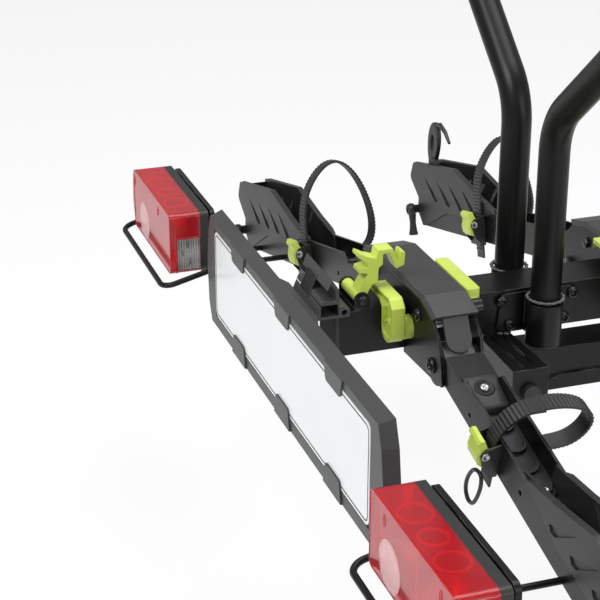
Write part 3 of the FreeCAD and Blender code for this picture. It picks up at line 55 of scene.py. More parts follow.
# Camera: the photograph's own view
AZIMUTH = math.radians(71.37)
ELEVATION = math.radians(23.74)
EYE = Vector((1.54952, -0.98317, 0.88421))
SENSOR_WIDTH = 36.0
FOCAL_PIXELS = 1698.49
PICTURE_PIXELS = 600.0
cam_data = bpy.data.cameras.new("camera")
cam_data.sensor_width = SENSOR_WIDTH
cam_data.lens = FOCAL_PIXELS / PICTURE_PIXELS * SENSOR_WIDTH
cam_data.clip_end = 50
camera = bpy.data.objects.new("camera", cam_data)
look = Vector((-math.sin(AZIMUTH) * math.cos(ELEVATION), math.cos(AZIMUTH) * math.cos(ELEVATION),
               -math.sin(ELEVATION)))
right = Vector((math.cos(AZIMUTH), math.sin(AZIMUTH), 0))
up = right.cross(look)
camera.matrix_world = Matrix((
    (right.x, up.x, -look.x, EYE.x), (right.y, up.y, -look.y, EYE.y),
    (right.z, up.z, -look.z, EYE.z), (0, 0, 0, 1)))
scene.collection.objects.link(camera)
scene.camera = camera
scene.view_settings.view_transform = "Standard"

# Materials

BEVEL_SAMPLES = 4
ROUGHNESS_DRIFT = 0.08
GRAIN_DEPTH = 0.0006
COAT_ROUGHNESS = 0.12
ACRYLIC_IOR = 1.49
# The grey of the painted edge highlight, which also stands for rubbed-off paint
SHEEN_AND_BARE_GREY = (0.34, 0.34, 0.34, 1)


def add_node(tree, kind, operation=None, **values):
    """Add a shader node; an underscore in an input's name stands for a space."""
    item = tree.nodes.new("ShaderNode" + kind)
    if operation:
        item.operation = operation
    for name, value in values.items():
        item.inputs[name.replace("_", " ")].default_value = value
    return item


def product(tree, first, second):
    """Multiply two values."""
    item = add_node(tree, "Math", "MULTIPLY")
    tree.links.new(first, item.inputs[0])
    tree.links.new(second, item.inputs[1])
    return item.outputs[0]


def mix_in(tree, share, under, over):
    """Blend a fixed colour over the shader's base colour."""
    blend = add_node(tree, "MixRGB", Color2=over)
    tree.links.new(share, blend.inputs["Fac"])
    tree.links.new(under, blend.inputs["Color1"])
    tree.links.new(blend.outputs["Color"], tree.nodes["Principled BSDF"].inputs["Base Color"])


def paint_edge_sheen_and_wear(tree, colour, coords, sheen_and_wear):
    """Lighten the edges in broken lines: a painted highlight where light catches them, and also
    where black paint and plastic rub off.
    """
    links = tree.links
    rounded_off = add_node(tree, "Bevel", Radius=0.9 * MM)
    rounded_off.samples = BEVEL_SAMPLES
    plain = add_node(tree, "NewGeometry")
    likeness = add_node(tree, "VectorMath", "DOT_PRODUCT")
    links.new(rounded_off.outputs["Normal"], likeness.inputs[0])
    links.new(plain.outputs["Normal"], likeness.inputs[1])
    on_edge = add_node(tree, "MapRange", From_Min=0.985, From_Max=0.86)
    links.new(likeness.outputs["Value"], on_edge.inputs["Value"])
    broken = add_node(tree, "TexNoise", Scale=45, Detail=4)
    links.new(coords.outputs["Object"], broken.inputs["Vector"])
    keep = add_node(tree, "MapRange", From_Min=0.42, From_Max=0.62, To_Max=sheen_and_wear)
    links.new(broken.outputs["Fac"], keep.inputs["Value"])
    share = product(tree, on_edge.outputs["Result"], keep.outputs["Result"])
    mix_in(tree, share, colour, SHEEN_AND_BARE_GREY)


def material(name, colour, rough, metal=0.0, grain=900.0, bump=0.06, vary=0.12, coat=0.0, edge=0.5,
             specular=0.5, patch=14.0, sheen_and_wear=0.0):
    """A surface with colour drift, fine grain and edges softened over a width in mm."""
    mat = bpy.data.materials.new(name)
    mat.use_nodes = True
    tree = mat.node_tree
    links = tree.links
    shader = tree.nodes["Principled BSDF"]
    shader.inputs["Metallic"].default_value = metal
    shader.inputs["Specular IOR Level"].default_value = specular
    shader.inputs["Coat Weight"].default_value = coat
    shader.inputs["Coat Roughness"].default_value = COAT_ROUGHNESS
    coords = add_node(tree, "TexCoord")
    drift = add_node(tree, "TexNoise", Scale=patch, Detail=5)
    links.new(coords.outputs["Object"], drift.inputs["Vector"])
    ramp = add_node(tree, "ValToRGB")
    darker, lighter = ramp.color_ramp.elements
    darker.position = 0.3
    darker.color = tuple(c * (1 - vary) for c in colour) + (1,)
    lighter.position = 0.75
    lighter.color = tuple(min(1, c * (1 + vary)) for c in colour) + (1,)
    links.new(drift.outputs["Fac"], ramp.inputs["Fac"])
    links.new(ramp.outputs["Color"], shader.inputs["Base Color"])
    # Painted highlight on the edges, which also stands for rubbed paint
    if sheen_and_wear:
        paint_edge_sheen_and_wear(tree, ramp.outputs["Color"], coords, sheen_and_wear)
    fine = add_node(tree, "TexNoise", Scale=grain, Detail=3)
    links.new(coords.outputs["Object"], fine.inputs["Vector"])
    spread = add_node(tree, "MapRange", To_Min=max(0.02, rough - ROUGHNESS_DRIFT),
                      To_Max=min(1.0, rough + ROUGHNESS_DRIFT))
    links.new(fine.outputs["Fac"], spread.inputs["Value"])
    links.new(spread.outputs["Result"], shader.inputs["Roughness"])
    relief = add_node(tree, "Bump", Strength=bump, Distance=GRAIN_DEPTH)
    links.new(fine.outputs["Fac"], relief.inputs["Height"])
    soft = add_node(tree, "Bevel", Radius=edge * MM)
    soft.samples = BEVEL_SAMPLES
    links.new(soft.outputs["Normal"], relief.inputs["Normal"])
    links.new(relief.outputs["Normal"], shader.inputs["Normal"])
    return mat


def lens_material(name, colour, rough, transmission, specular=0.5):
    """A clear or tinted acrylic."""
    mat = material(name, colour, rough, grain=700, bump=0.03, vary=0.03, edge=0.6,
                   specular=specular)
    shader = mat.node_tree.nodes["Principled BSDF"]
    shader.inputs["Transmission Weight"].default_value = transmission
    shader.inputs["IOR"].default_value = ACRYLIC_IOR
    return mat


def paint_face_sheen(mat, sheen_colour):
    """Painted sheen: the lens face that looks rearward, seen through its fine ribs, is paler and
    pinker than its sides, standing in for the light the ribs throw back.
    """
    tree = mat.node_tree
    links = tree.links
    coords = add_node(tree, "TexCoord")
    split = add_node(tree, "SeparateXYZ")
    links.new(coords.outputs["Normal"], split.inputs["Vector"])
    turned = add_node(tree, "MapRange", From_Min=-0.6, From_Max=-0.97)
    links.new(split.outputs["Y"], turned.inputs["Value"])
    ribs = add_node(tree, "TexWave", Scale=120, Distortion=0.6)
    links.new(coords.outputs["Object"], ribs.inputs["Vector"])
    soften = add_node(tree, "MapRange", To_Min=0.55, To_Max=1.0)
    links.new(ribs.outputs["Fac"], soften.inputs["Value"])
    clouds = add_node(tree, "TexNoise", Scale=16, Detail=1)
    links.new(coords.outputs["Object"], clouds.inputs["Vector"])
    uneven = add_node(tree, "MapRange", From_Min=0.38, From_Max=0.62, To_Min=0.25)
    links.new(clouds.outputs["Fac"], uneven.inputs["Value"])
    ribbed = product(tree, turned.outputs["Result"], soften.outputs["Result"])
    share = product(tree, ribbed, uneven.outputs["Result"])
    under = tree.nodes["Principled BSDF"].inputs["Base Color"].links[0].from_socket
    mix_in(tree, share, under, sheen_colour + (1,))


STEEL = material("black_steel", (0.0048, 0.0048, 0.005), 0.34, grain=1400, bump=0.10, edge=0.9,
                 specular=0.26, sheen_and_wear=0.75)
CAST = material("cast_black", (0.008, 0.008, 0.0085), 0.46, grain=700, bump=0.35, edge=1.2,
                specular=0.3, sheen_and_wear=0.6)
# Painted sheen: the hinge tube's light grey stands in for the dark steel's sheen
SHEEN_TUBE = material("painted_sheen_tube", (0.13, 0.13, 0.135), 0.32, grain=2200, bump=0.05, edge=0.3)
# Painted shade: near black put in slots, wells and pockets where shade falls
SHADE_BLACK = material("painted_shade_recess", (0.004, 0.004, 0.004), 0.6, grain=1800, bump=0.1, edge=0.2)
NUT = material("dull_nuts", (0.10, 0.10, 0.105), 0.38, metal=0.8, grain=2500, bump=0.05, edge=0.3)
WELD = material("weld_bead", (0.11, 0.11, 0.115), 0.24, metal=0.5, grain=900, bump=0.3, edge=0.2)
ZINC = material("zinc_steel", (0.46, 0.46, 0.47), 0.32, metal=1.0, grain=2500, bump=0.05, edge=0.4)
BOLT = material("dark_bolts", (0.03, 0.03, 0.032), 0.24, metal=0.6, grain=2500, bump=0.03, edge=0.5)
GREY = material("grey_plastic", (0.020, 0.020, 0.021), 0.44, grain=2400, bump=0.16, edge=1.0,
                specular=0.42, sheen_and_wear=0.25)
COVER = material("cover_plastic", (0.034, 0.034, 0.035), 0.42, grain=2400, bump=0.16, edge=1.4,
                 sheen_and_wear=0.7)
BLACK = material("black_plastic", (0.017, 0.017, 0.018), 0.42, grain=2400, bump=0.16, edge=0.9,
                 specular=0.42, sheen_and_wear=0.2)
HOLDER = material("holder_plastic", (0.045, 0.045, 0.047), 0.42, grain=2400, bump=0.12, edge=1.0)
LIME = material("lime_plastic", (0.55, 0.67, 0.10), 0.38, grain=1800, bump=0.06, vary=0.05,
                edge=2.0)
RUBBER = material("black_rubber", (0.02, 0.02, 0.02), 0.62, grain=1600, bump=0.2, edge=1.0)
STRAP = material("strap_rubber", (0.011, 0.011, 0.0115), 0.46, grain=1600, bump=0.12, edge=0.3)
PLATE = material("white_plate", (0.80, 0.83, 0.84), 0.35, grain=3200, bump=0.03, vary=0.012,
                 edge=0.3, coat=0.3)
RED = lens_material("red_lens", (0.86, 0.035, 0.05), 0.10, 0.72, specular=0.28)
# The red lens's rearward face gets a painted sheen
paint_face_sheen(RED, (0.90, 0.17, 0.21))
# Painted reflection: a pale disc on the lens face, in front of the large reflector bowl
REFLECTION_DISC = lens_material("painted_reflection_disc", (0.90, 0.50, 0.51), 0.3, 0.25)
RED_EDGE = lens_material("red_edge", (0.62, 0.008, 0.015), 0.15, 0.3)
RING = lens_material("red_rings", (0.95, 0.16, 0.20), 0.3, 0.0)
GLOW = lens_material("bulb_glass", (0.90, 0.16, 0.14), 0.08, 0.6)
CLEAR = lens_material("clear_lens", (0.95, 0.95, 0.95), 0.05, 0.95)
REFLECTOR = material("reflector", (0.74, 0.74, 0.75), 0.25, metal=0.4, grain=1200, bump=0.08,
                     vary=0.05, edge=0.3)
WINDOW = material("window_back", (0.95, 0.94, 0.92), 0.4, grain=1200, bump=0.08, vary=0.04,
                  edge=0.3, patch=60)

BY_SLOT = {
    "black_steel": STEEL, "cast_black": CAST, "zinc_steel": ZINC, "dark_bolts": BOLT,
    "grey_plastic": GREY, "black_plastic": BLACK, "lime_plastic": LIME, "black_rubber": RUBBER,
    "strap_rubber": STRAP, "red_lens": RED, "white_plate": PLATE,
}
BY_NODE = {"plate_holder": HOLDER, "plate_mount": HOLDER, "rear_cover": COVER,
           "front_cover": COVER}
for entry in frame["record"]["subparts"]:
    chosen = BY_NODE.get(entry["node"], BY_SLOT[entry["material_slot"]])
    for place in NODES[entry["node"]].material_slots:
        place.material = chosen

# Floor, world and lamps

# The floor shows as nearly plain white to the camera, and through the lenses
FLOOR_GLOW = 0.8
floor_mat = bpy.data.materials.new("floor")
floor_mat.use_nodes = True
tree = floor_mat.node_tree
base = tree.nodes["Principled BSDF"]
base.inputs["Base Color"].default_value = (0.86, 0.86, 0.86, 1)
base.inputs["Roughness"].default_value = 0.9
base.inputs["Specular IOR Level"].default_value = 0.1
path = add_node(tree, "LightPath")
direct = add_node(tree, "Math", "MAXIMUM")
tree.links.new(path.outputs["Is Camera Ray"], direct.inputs[0])
tree.links.new(path.outputs["Is Transmission Ray"], direct.inputs[1])
share = add_node(tree, "Math", "MULTIPLY")
share.inputs[1].default_value = FLOOR_GLOW
tree.links.new(direct.outputs[0], share.inputs[0])
glow = add_node(tree, "Emission", Color=(1, 1, 1, 1))
blend = add_node(tree, "MixShader")
tree.links.new(share.outputs[0], blend.inputs["Fac"])
tree.links.new(base.outputs[0], blend.inputs[1])
tree.links.new(glow.outputs[0], blend.inputs[2])
tree.links.new(blend.outputs[0], tree.nodes["Material Output"].inputs["Surface"])
bpy.ops.mesh.primitive_plane_add(size=30, location=(0, 0, -0.30))
floor = bpy.context.object
floor.name = "floor"
floor.data.materials.append(floor_mat)

# The world lights the part softly and shows white to the camera
world = bpy.data.worlds.new("world")
scene.world = world
world.use_nodes = True
tree = world.node_tree
ambient = tree.nodes["Background"]
ambient.inputs["Color"].default_value = (1, 1, 1, 1)
ambient.inputs["Strength"].default_value = 0.42
seen = add_node(tree, "Background", Color=(1, 1, 1, 1), Strength=1.0)
path = add_node(tree, "LightPath")
pick = add_node(tree, "MixShader")
tree.links.new(path.outputs["Is Camera Ray"], pick.inputs["Fac"])
tree.links.new(ambient.outputs[0], pick.inputs[1])
tree.links.new(seen.outputs[0], pick.inputs[2])
tree.links.new(pick.outputs[0], tree.nodes["World Output"].inputs["Surface"])


def lamp(name, place, target, size, power):
    """A rectangular lamp of a size in metres, aimed at a target."""
    data = bpy.data.lights.new(name, "AREA")
    data.shape = "RECTANGLE"
    data.size, data.size_y = size
    data.energy = power
    item = bpy.data.objects.new(name, data)
    item.location = place
    item.rotation_euler = (Vector(target) - Vector(place)).to_track_quat("-Z", "Y").to_euler()
    scene.collection.objects.link(item)


lamp("key", (0.6, -2.4, 2.6), (0, -0.25, 0.2), (2.0, 1.4), 66)
lamp("top", (-0.2, 0.3, 2.6), (0, -0.2, 0.2), (2.0, 2.0), 52)
lamp("side", (2.6, 0.9, 1.0), (0, -0.2, 0.2), (1.6, 1.6), 22)

# Mesh helpers: outlines and profiles are in mm, and a place is a matrix in metres


def finish_mesh(name, mesh_data, mat, body, smooth=True, bevel=0.0, segments=2, auto=35.0):
    """Make the object, give it its material and let it ride on a body."""
    bmesh.ops.recalc_face_normals(mesh_data, faces=mesh_data.faces)
    mesh = bpy.data.meshes.new(name)
    mesh_data.to_mesh(mesh)
    mesh_data.free()
    item = bpy.data.objects.new(name, mesh)
    scene.collection.objects.link(item)
    mesh.materials.append(mat)
    if bevel:
        cut = item.modifiers.new("bevel", "BEVEL")
        cut.width = bevel
        cut.segments = segments
        cut.limit_method = "ANGLE"
        cut.angle_limit = math.radians(30)
    if smooth:
        for face in mesh.polygons:
            face.use_smooth = True
        with bpy.context.temp_override(object=item, active_object=item, selected_objects=[item],
                                       selected_editable_objects=[item]):
            bpy.ops.object.shade_auto_smooth(angle=math.radians(auto))
    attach(item, body)
    return item


def metres(*place):
    """A place given in mm."""
    return tuple(value * MM for value in place)


def shifted(*place):
    """The matrix of a shift in mm."""
    return Matrix.Translation(metres(*place))


def axis_frame(centre, axis, spin=0.0):
    """A matrix whose Z runs along the axis."""
    turn = Vector(axis).normalized().to_track_quat("Z", "Y").to_matrix().to_4x4()
    return Matrix.Translation(Vector(centre)) @ turn @ Matrix.Rotation(spin, 4, "Z")


def lathe(mesh_data, profile, place, steps=32, flutes=0, depth=0.0):
    """Turn a profile of (radius, height) points about the place's Z axis."""
    rings = []
    for radius, height in profile:
        ring = []
        if radius <= 0:
            ring = [mesh_data.verts.new(place @ Vector((0, 0, height * MM)))] * steps
        else:
            for step in range(steps):
                angle = 2 * math.pi * step / steps
                reach = radius
                if flutes:
                    reach = radius - depth * (0.5 + 0.5 * math.cos(flutes * angle))
                ring.append(mesh_data.verts.new(place @ Vector((
                    reach * math.cos(angle) * MM, reach * math.sin(angle) * MM, height * MM))))
        rings.append(ring)
    for low, high in zip(rings, rings[1:]):
        for step in range(steps):
            after = (step + 1) % steps
            corners = []
            for vert in (low[step], low[after], high[after], high[step]):
                if vert not in corners:
                    corners.append(vert)
            if len(corners) > 2:
                mesh_data.faces.new(corners)


def prism(mesh_data, outline, place, low, high):
    """A slab from a closed outline of (u, v) points between two heights."""
    bottom = [mesh_data.verts.new(place @ Vector((u * MM, v * MM, low * MM))) for u, v in outline]
    top = [mesh_data.verts.new(place @ Vector((u * MM, v * MM, high * MM))) for u, v in outline]
    mesh_data.faces.new(bottom[::-1])
    mesh_data.faces.new(top)
    for step in range(len(outline)):
        after = (step + 1) % len(outline)
        mesh_data.faces.new((bottom[step], bottom[after], top[after], top[step]))


def block(mesh_data, u_low, u_high, v_low, v_high, place, low, high):
    """A slab from a rectangle."""
    prism(mesh_data, [(u_low, v_low), (u_high, v_low), (u_high, v_high), (u_low, v_high)], place,
          low, high)


def band(mesh_data, outer, inner, place, low, high):
    """A slab between an outer and an inner outline with as many points."""
    rings = []
    for outline in (outer, inner):
        for level in (low, high):
            rings.append([mesh_data.verts.new(place @ Vector((u * MM, v * MM, level * MM)))
                          for u, v in outline])
    outer_low, outer_high, inner_low, inner_high = rings
    for step in range(len(outer)):
        after = (step + 1) % len(outer)
        for first, second in ((outer_low, outer_high), (outer_high, inner_high),
                              (inner_high, inner_low), (inner_low, outer_low)):
            mesh_data.faces.new((first[step], first[after], second[after], second[step]))


def oval(centre, half, steps=24):
    """An ellipse's outline."""
    return [(centre[0] + half[0] * math.cos(2 * math.pi * k / steps),
             centre[1] + half[1] * math.sin(2 * math.pi * k / steps)) for k in range(steps)]


def rounded(half_u, half_v, centre, radius, steps=5):
    """A rounded rectangle's outline."""
    points = []
    for corner, (su, sv) in enumerate(((1, 1), (-1, 1), (-1, -1), (1, -1))):
        for k in range(steps + 1):
            angle = math.pi / 2 * (corner + k / steps)
            u = su * (half_u - radius) + radius * math.cos(angle)
            v = sv * (half_v - radius) + radius * math.sin(angle)
            points.append((centre[0] + u, centre[1] + v))
    return points


def closed_wire(name, points, radius, mat, body):
    """A round bar along a smooth loop of points."""
    data = bpy.data.curves.new(name, "CURVE")
    data.dimensions = "3D"
    data.bevel_depth = radius * MM
    data.bevel_resolution = 4
    line = data.splines.new("NURBS")
    line.points.add(len(points) - 1)
    for point, where in zip(line.points, points):
        point.co = metres(*where) + (1,)
    line.order_u = 3
    line.use_cyclic_u = True
    item = bpy.data.objects.new(name, data)
    scene.collection.objects.link(item)
    data.materials.append(mat)
    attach(item, body)


# Fasteners

HEAD_HEIGHT = 4
SOCKET_SHARE = 0.5
MAST_Y = -197.5
HINGE_X, HINGE_Z = 102.0, 118.6
# The faces of the rear pair of plates; the front pair mirrors them, so that a place in the one
# and its mirror in the other add up to MIRROR_Y
OUTER_FACE, INNER_FACE = -352, -303
MIRROR_Y = -395.0
SHANK_LENGTH = 49.5


def screw_head(mesh_data, centre, axis, radius, spin):
    """Button head with a six-sided socket."""
    place = axis_frame(centre, axis, spin)
    height = HEAD_HEIGHT
    socket = radius * SOCKET_SHARE
    dome = [(0, 0), (radius, 0), (radius, height * 0.25), (radius * 0.93, height * 0.6),
            (radius * 0.78, height * 0.88), (radius * 0.6, height)]
    lathe(mesh_data, dome + [(socket, height)], place, 24)
    lathe(mesh_data, [(socket, height), (socket * 0.92, height * 0.35), (0, height * 0.3)],
          place, 6)


def hexagon_nut(mesh_data, centre, axis, radius, height, spin):
    """A six-sided nut with a chamfered end and the screw's tip in it."""
    place = axis_frame(centre, axis, spin)
    lathe(mesh_data, [(0, 0), (radius, 0), (radius, height * 0.72), (radius * 0.84, height),
                      (radius * 0.58, height), (radius * 0.52, height - 1), (0, height - 1)],
          place, 6)
    tip = radius * 0.46
    lathe(mesh_data, [(tip, height - 1.2), (tip, height + 0.1), (tip * 0.8, height + 0.6),
                      (0, height + 0.6)], place, 20)


def plate_bolts(name, node, spots, shank, head, nut, nut_height, extra=()):
    """Domed heads outside both pairs of plates, nuts inside them."""
    heads, nuts = bmesh.new(), bmesh.new()
    for x, z in spots:
        for way, outer, inner in ((1, OUTER_FACE, INNER_FACE),
                                  (-1, MIRROR_Y - OUTER_FACE, MIRROR_Y - INNER_FACE)):
            screw_head(heads, metres(x, outer, z), (0, -way, 0), head, 0.4)
            lathe(heads, [(0, 0.2), (shank, 0.2), (shank, SHANK_LENGTH), (0, SHANK_LENGTH)],
                  axis_frame(metres(x, outer, z), (0, way, 0)), 20)
            hexagon_nut(nuts, metres(x, inner, z), (0, way, 0), nut, nut_height, 0.3)
    for centre, axis in extra:
        screw_head(heads, centre, axis, head, 0.2)
    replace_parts(finish_mesh(name + "_heads", heads, BOLT, "frame"), node)
    finish_mesh(name + "_nuts", nuts, NUT, "frame", bevel=0.0003)


mast_spots = []
for sign in (1, -1):
    for shift, z in ((-42, 143), (-32, 115), (42, 143), (33, 115)):
        mast_spots.append((metres(sign * 28, MAST_Y + shift, z), (sign, 0, 0)))
plate_bolts("bracket_bolts", "frame_bolts", ((63, 159), (-63, 159)), 4, 7, 6.4, 4, mast_spots)
plate_bolts("hinge_bolts", "hinge_bolts", ((HINGE_X, HINGE_Z), (-HINGE_X, HINGE_Z)),
            6, 8.5, 8.2, 9)

# The catch's pin ends in a domed head with a cross slot
CATCH_PIN_END = metres(26.8, -400, 166.5)
CATCH_PIN_SPIN = 0.4
dome = bmesh.new()
lathe(dome, [(5.4, -0.4), (5.4, 0.6), (4.6, 1.5), (3.2, 2.0), (0, 2.2)],
      axis_frame(CATCH_PIN_END, (1, 0, 0), CATCH_PIN_SPIN), 28)
finish_mesh("catch_pin_head", dome, BOLT, "frame")
# The cross slot is painted near black as shade
cross = bmesh.new()
for spin in (CATCH_PIN_SPIN, CATCH_PIN_SPIN + math.pi / 2):
    block(cross, -2.6, 2.6, -0.5, 0.5, axis_frame(CATCH_PIN_END, (1, 0, 0), spin), 1.2, 2.35)
finish_mesh("catch_pin_cross", cross, SHADE_BLACK, "frame", smooth=False)

# Bicycle arm knobs, with eight finger hollows

for side, sign in SIDES:
    node = side + "_bike_knob"
    low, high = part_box(node)
    start = low[0] if sign > 0 else high[0]
    place = axis_frame((start, MAST_Y * MM, (low[2] + high[2]) / 2), (sign, 0, 0))
    grip = bmesh.new()
    lathe(grip, [(0, 0), (11, 0), (12, 3), (18.4, 6), (19.9, 9), (19.9, 20), (18, 24.5), (13, 26),
                 (11.5, 24.6), (0, 24.6)], place, 96, flutes=8, depth=3.2)
    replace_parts(finish_mesh(node + "_grip", grip, BLACK, side + "_knob"), node)

# Wings: screw bosses, ratchet rivets, hinge tubes and strap fittings

DROOP = math.radians(14)
ROW_Y = {"rear": -327.5, "front": -67.5}
# How far out on its wing each ratchet sits
STATIONS = {("rear", "near"): 148, ("rear", "far"): 201, ("front", "near"): 201,
            ("front", "far"): 257}
RIVET_SPACING = 14.8
SIDE_ON = Matrix(((1, 0, 0, 0), (0, 0, 1, 0), (0, 1, 0, 0), (0, 0, 0, 1)))
ALONG = Matrix(((0, 0, 1, 0), (1, 0, 0, 0), (0, 1, 0, 0), (0, 0, 0, 1)))
BOSS = [(54, 25.1), (54, 26.6), (56, 27.2), (64, 26.8), (80, 23.8), (94, 21.2), (97, 19.5),
        (99.5, 13), (99.5, 11.9), (93, 11.9), (77, 21.9), (63, 21.9)]
BOSS_HALF_WIDTH = 17.7
BOSS_SLOPE = math.atan(3 / 16.0)


def wing_place(row, side):
    """Maps (out, along Y, up) of a folding wing to the frame."""
    sign = 1 if side == "near" else -1
    cos, sin = math.cos(DROOP), math.sin(DROOP)
    return Matrix(((sign * cos, 0, sign * sin, sign * HINGE_X * MM), (0, 1, 0, ROW_Y[row] * MM),
                   (-sin, 0, cos, HINGE_Z * MM), (0, 0, 0, 1)))


for (row, side), station in STATIONS.items():
    wing = wing_place(row, side)
    body = "%s_%s_wing" % (row, side)
    boss = bmesh.new()
    prism(boss, BOSS, wing @ SIDE_ON, -BOSS_HALF_WIDTH, BOSS_HALF_WIDTH)
    finish_mesh(body + "_boss", boss, GREY, body, bevel=0.0016, segments=3)

    # The dark wells round the screws are painted shade
    wells, screws = bmesh.new(), bmesh.new()
    for place in (wing @ shifted(72.5, 0, 25.0) @ Matrix.Rotation(BOSS_SLOPE, 4, "Y"),
                  wing @ shifted(212, 5, 12)):
        lathe(wells, [(11.2, -0.5), (10.6, 0.6), (9.4, 1.5), (8.2, 1.5), (7.2, 0.35), (0, 0.25)],
              place, 36)
        lathe(screws, [(4.9, 0.2), (4.9, 1.0), (4.2, 1.9), (2.9, 2.3), (2.4, 2.3), (2.0, 1.0),
                       (0, 0.9)], place, 28)
    finish_mesh(body + "_wells", wells, SHADE_BLACK, body)
    finish_mesh(body + "_screws", screws, ZINC, body)

    rivets = bmesh.new()
    for end in (1, -1):
        place = wing @ shifted(station + end * RIVET_SPACING, -36.5, 20) @ ALONG
        lathe(rivets, [(4.4, 0), (4.4, end * 0.8), (3.9, end * 1.3), (2.9, end * 1.3),
                       (2.3, end * 0.5), (0, end * 0.5)], place, 24)
    finish_mesh(body + "_rivets", rivets, ZINC, body)

    # A thin sleeve over the knuckle, coloured lighter grey as painted sheen
    tube = bmesh.new()
    lathe(tube, [(21.2, 0), (22.2, 0.8), (22.35, 2), (22.35, 32.6), (22.2, 33.8), (21.2, 34.6)],
          wing @ shifted(0, -17.3, 0) @ Matrix.Rotation(-math.pi / 2, 4, "X"), 72)
    finish_mesh(body + "_hinge_tube", tube, SHEEN_TUBE, body)

    # The strap's end cleat at the foot of the cup
    cleat = bmesh.new()
    lathe(cleat, [(6, -2), (6, 5), (8.4, 7), (9, 11), (7.4, 15.4), (4, 16.2), (3.4, 14.4),
                  (0, 14.2)],
          wing @ shifted(478, -22, 17) @ SIDE_ON @ Matrix.Rotation(math.pi, 4, "X"), 32)
    if row == "front":
        lathe(cleat, [(5.6, -2), (5.0, 6), (4.4, 14), (5.4, 24), (6.6, 29), (6.4, 31), (0, 31.4)],
              wing @ shifted(478, -31, 11) @ Matrix.Rotation(math.pi, 4, "X"), 28)
    finish_mesh(body + "_cleat", cleat, BLACK, body)


def facing(sign, y=0.0):
    """Maps (out, up, along Y) of one side to the frame."""
    return Matrix(((sign, 0, 0, 0), (0, 0, 1, y * MM), (0, 1, 0, 0), (0, 0, 0, 1)))


# Wheel strap end with an oval eye behind each front cup's tip
LOOP_X, LOOP_Y, LOOP_Z = 552, -75, 120
for side, sign in SIDES:
    body = "front_%s_wing" % side
    eye = bmesh.new()
    outer = []
    for u, v in oval((0, 0), (1, 1)):
        reach_u = 17 + 3 * v
        reach_v = 34 if v > 0 else 32
        outer.append((LOOP_X - u * reach_u - 4 * v, LOOP_Z + v * reach_v))
    inner = oval((LOOP_X, LOOP_Z + 2), (-6.4, 13))
    place = facing(sign, LOOP_Y)
    band(eye, outer, inner, place, -3, 3)
    foot = [(540, 78), (560, 78), (562, 96), (556, 104), (544, 104), (538, 96)]
    prism(eye, foot, place, -4, 4)
    tail = [(556, 150), (534, 158), (514, 152), (500, 140), (499, 137), (515, 147), (534, 152),
            (556, 143)]
    prism(eye, tail, place, -2.4, 2.4)
    finish_mesh(body + "_strap_eye", eye, BLACK, body, bevel=0.0012, segments=3)

# Pull ring of the near rear strap
PULL_RING_Y = -365.5
ring = [(x, PULL_RING_Y, z) for x, z in ((243, 76), (229, 59), (225, 44), (232, 34), (244, 36),
                                         (254, 50), (261, 66), (260, 78))]
closed_wire("rear_near_strap_ring", ring, 2.1, BLACK, "rear_near_wing")

# Plate border

PLATE_FACE_Y = -480
front_face = Matrix(((1, 0, 0, 0), (0, 0, -1, PLATE_FACE_Y * MM), (0, 1, 0, 0), (0, 0, 0, 1)))
low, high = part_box("number_plate")
half_u, half_v = (high[0] - low[0]) / 2 / MM, (high[2] - low[2]) / 2 / MM
middle = (0, (high[2] + low[2]) / 2 / MM)
border = bmesh.new()
band(border, rounded(half_u - 3.2, half_v - 3.2, middle, 7.5),
     rounded(half_u - 4.6, half_v - 4.6, middle, 6.2), front_face, -0.2, 0.25)
finish_mesh("plate_border", border, BLACK, "frame", smooth=False)

# Pocket in the rear face of the plate's mount, which leans forward as it rises
foot, top = Vector(metres(0, -453.9, 161)), Vector(metres(0, -438, 199))
rise = (top - foot).normalized()
outward = Vector((1, 0, 0)).cross(rise)
face = Matrix(((1, rise.x, outward.x, 0), (0, rise.y, outward.y, foot.y),
               (0, rise.z, outward.z, foot.z), (0, 0, 0, 1)))
POCKET_MIDDLE = (-14, 19)
well = rounded(13, 12, POCKET_MIDDLE, 1.5)
lip = rounded(14.2, 13.2, POCKET_MIDDLE, 2)
pocket = bmesh.new()
band(pocket, lip, well, face, -0.5, 0.9)
finish_mesh("mount_pocket_rim", pocket, HOLDER, "frame", bevel=0.0003)
# The pocket's floor is painted near black as shade
pocket = bmesh.new()
prism(pocket, well, face, -0.5, 0.15)
finish_mesh("mount_pocket_floor", pocket, SHADE_BLACK, "frame", smooth=False)

# Weld beads round the mast's sleeves and at the catch's ears

random.seed(7)
beads = bmesh.new()


def bead_ring(centre, radius, last, count, size, height):
    """Overlapping flat beads from 0 to the last angle in degrees."""
    for k in range(count):
        angle = math.radians(last * k / max(1, count - 1))
        reach = radius + random.uniform(-0.3, 0.3)
        spot = shifted(centre[0] + reach * math.cos(angle), centre[1] + reach * math.sin(angle),
                       height + random.uniform(-0.3, 0.3))
        size_now = size * random.uniform(0.85, 1.15) * MM
        bmesh.ops.create_icosphere(beads, subdivisions=2, radius=size_now,
                                   matrix=spot @ Matrix.Diagonal((1, 1, 0.7, 1)))


sleeves_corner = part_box("mast_brackets")[1]
sleeve_x = sleeves_corner[0] / MM - 19.5
for sign in (1, -1):
    bead_ring((sign * sleeve_x, MAST_Y), 19.4, 354, 44, 2.3, sleeves_corner[2] / MM - 0.6)
for x, y in ((21, -259), (14.5, -246), (25, -239), (27.6, -232)):
    bead_ring((x, y), 2.2, 300, 4, 2.7, 105.2)
finish_mesh("weld_beads", beads, WELD, "frame", auto=80)

# Lamps: reflectors, bulbs and rings behind the lens, the side window, ribs and dimples

FACE_Y = -513
BACK_Y = -477
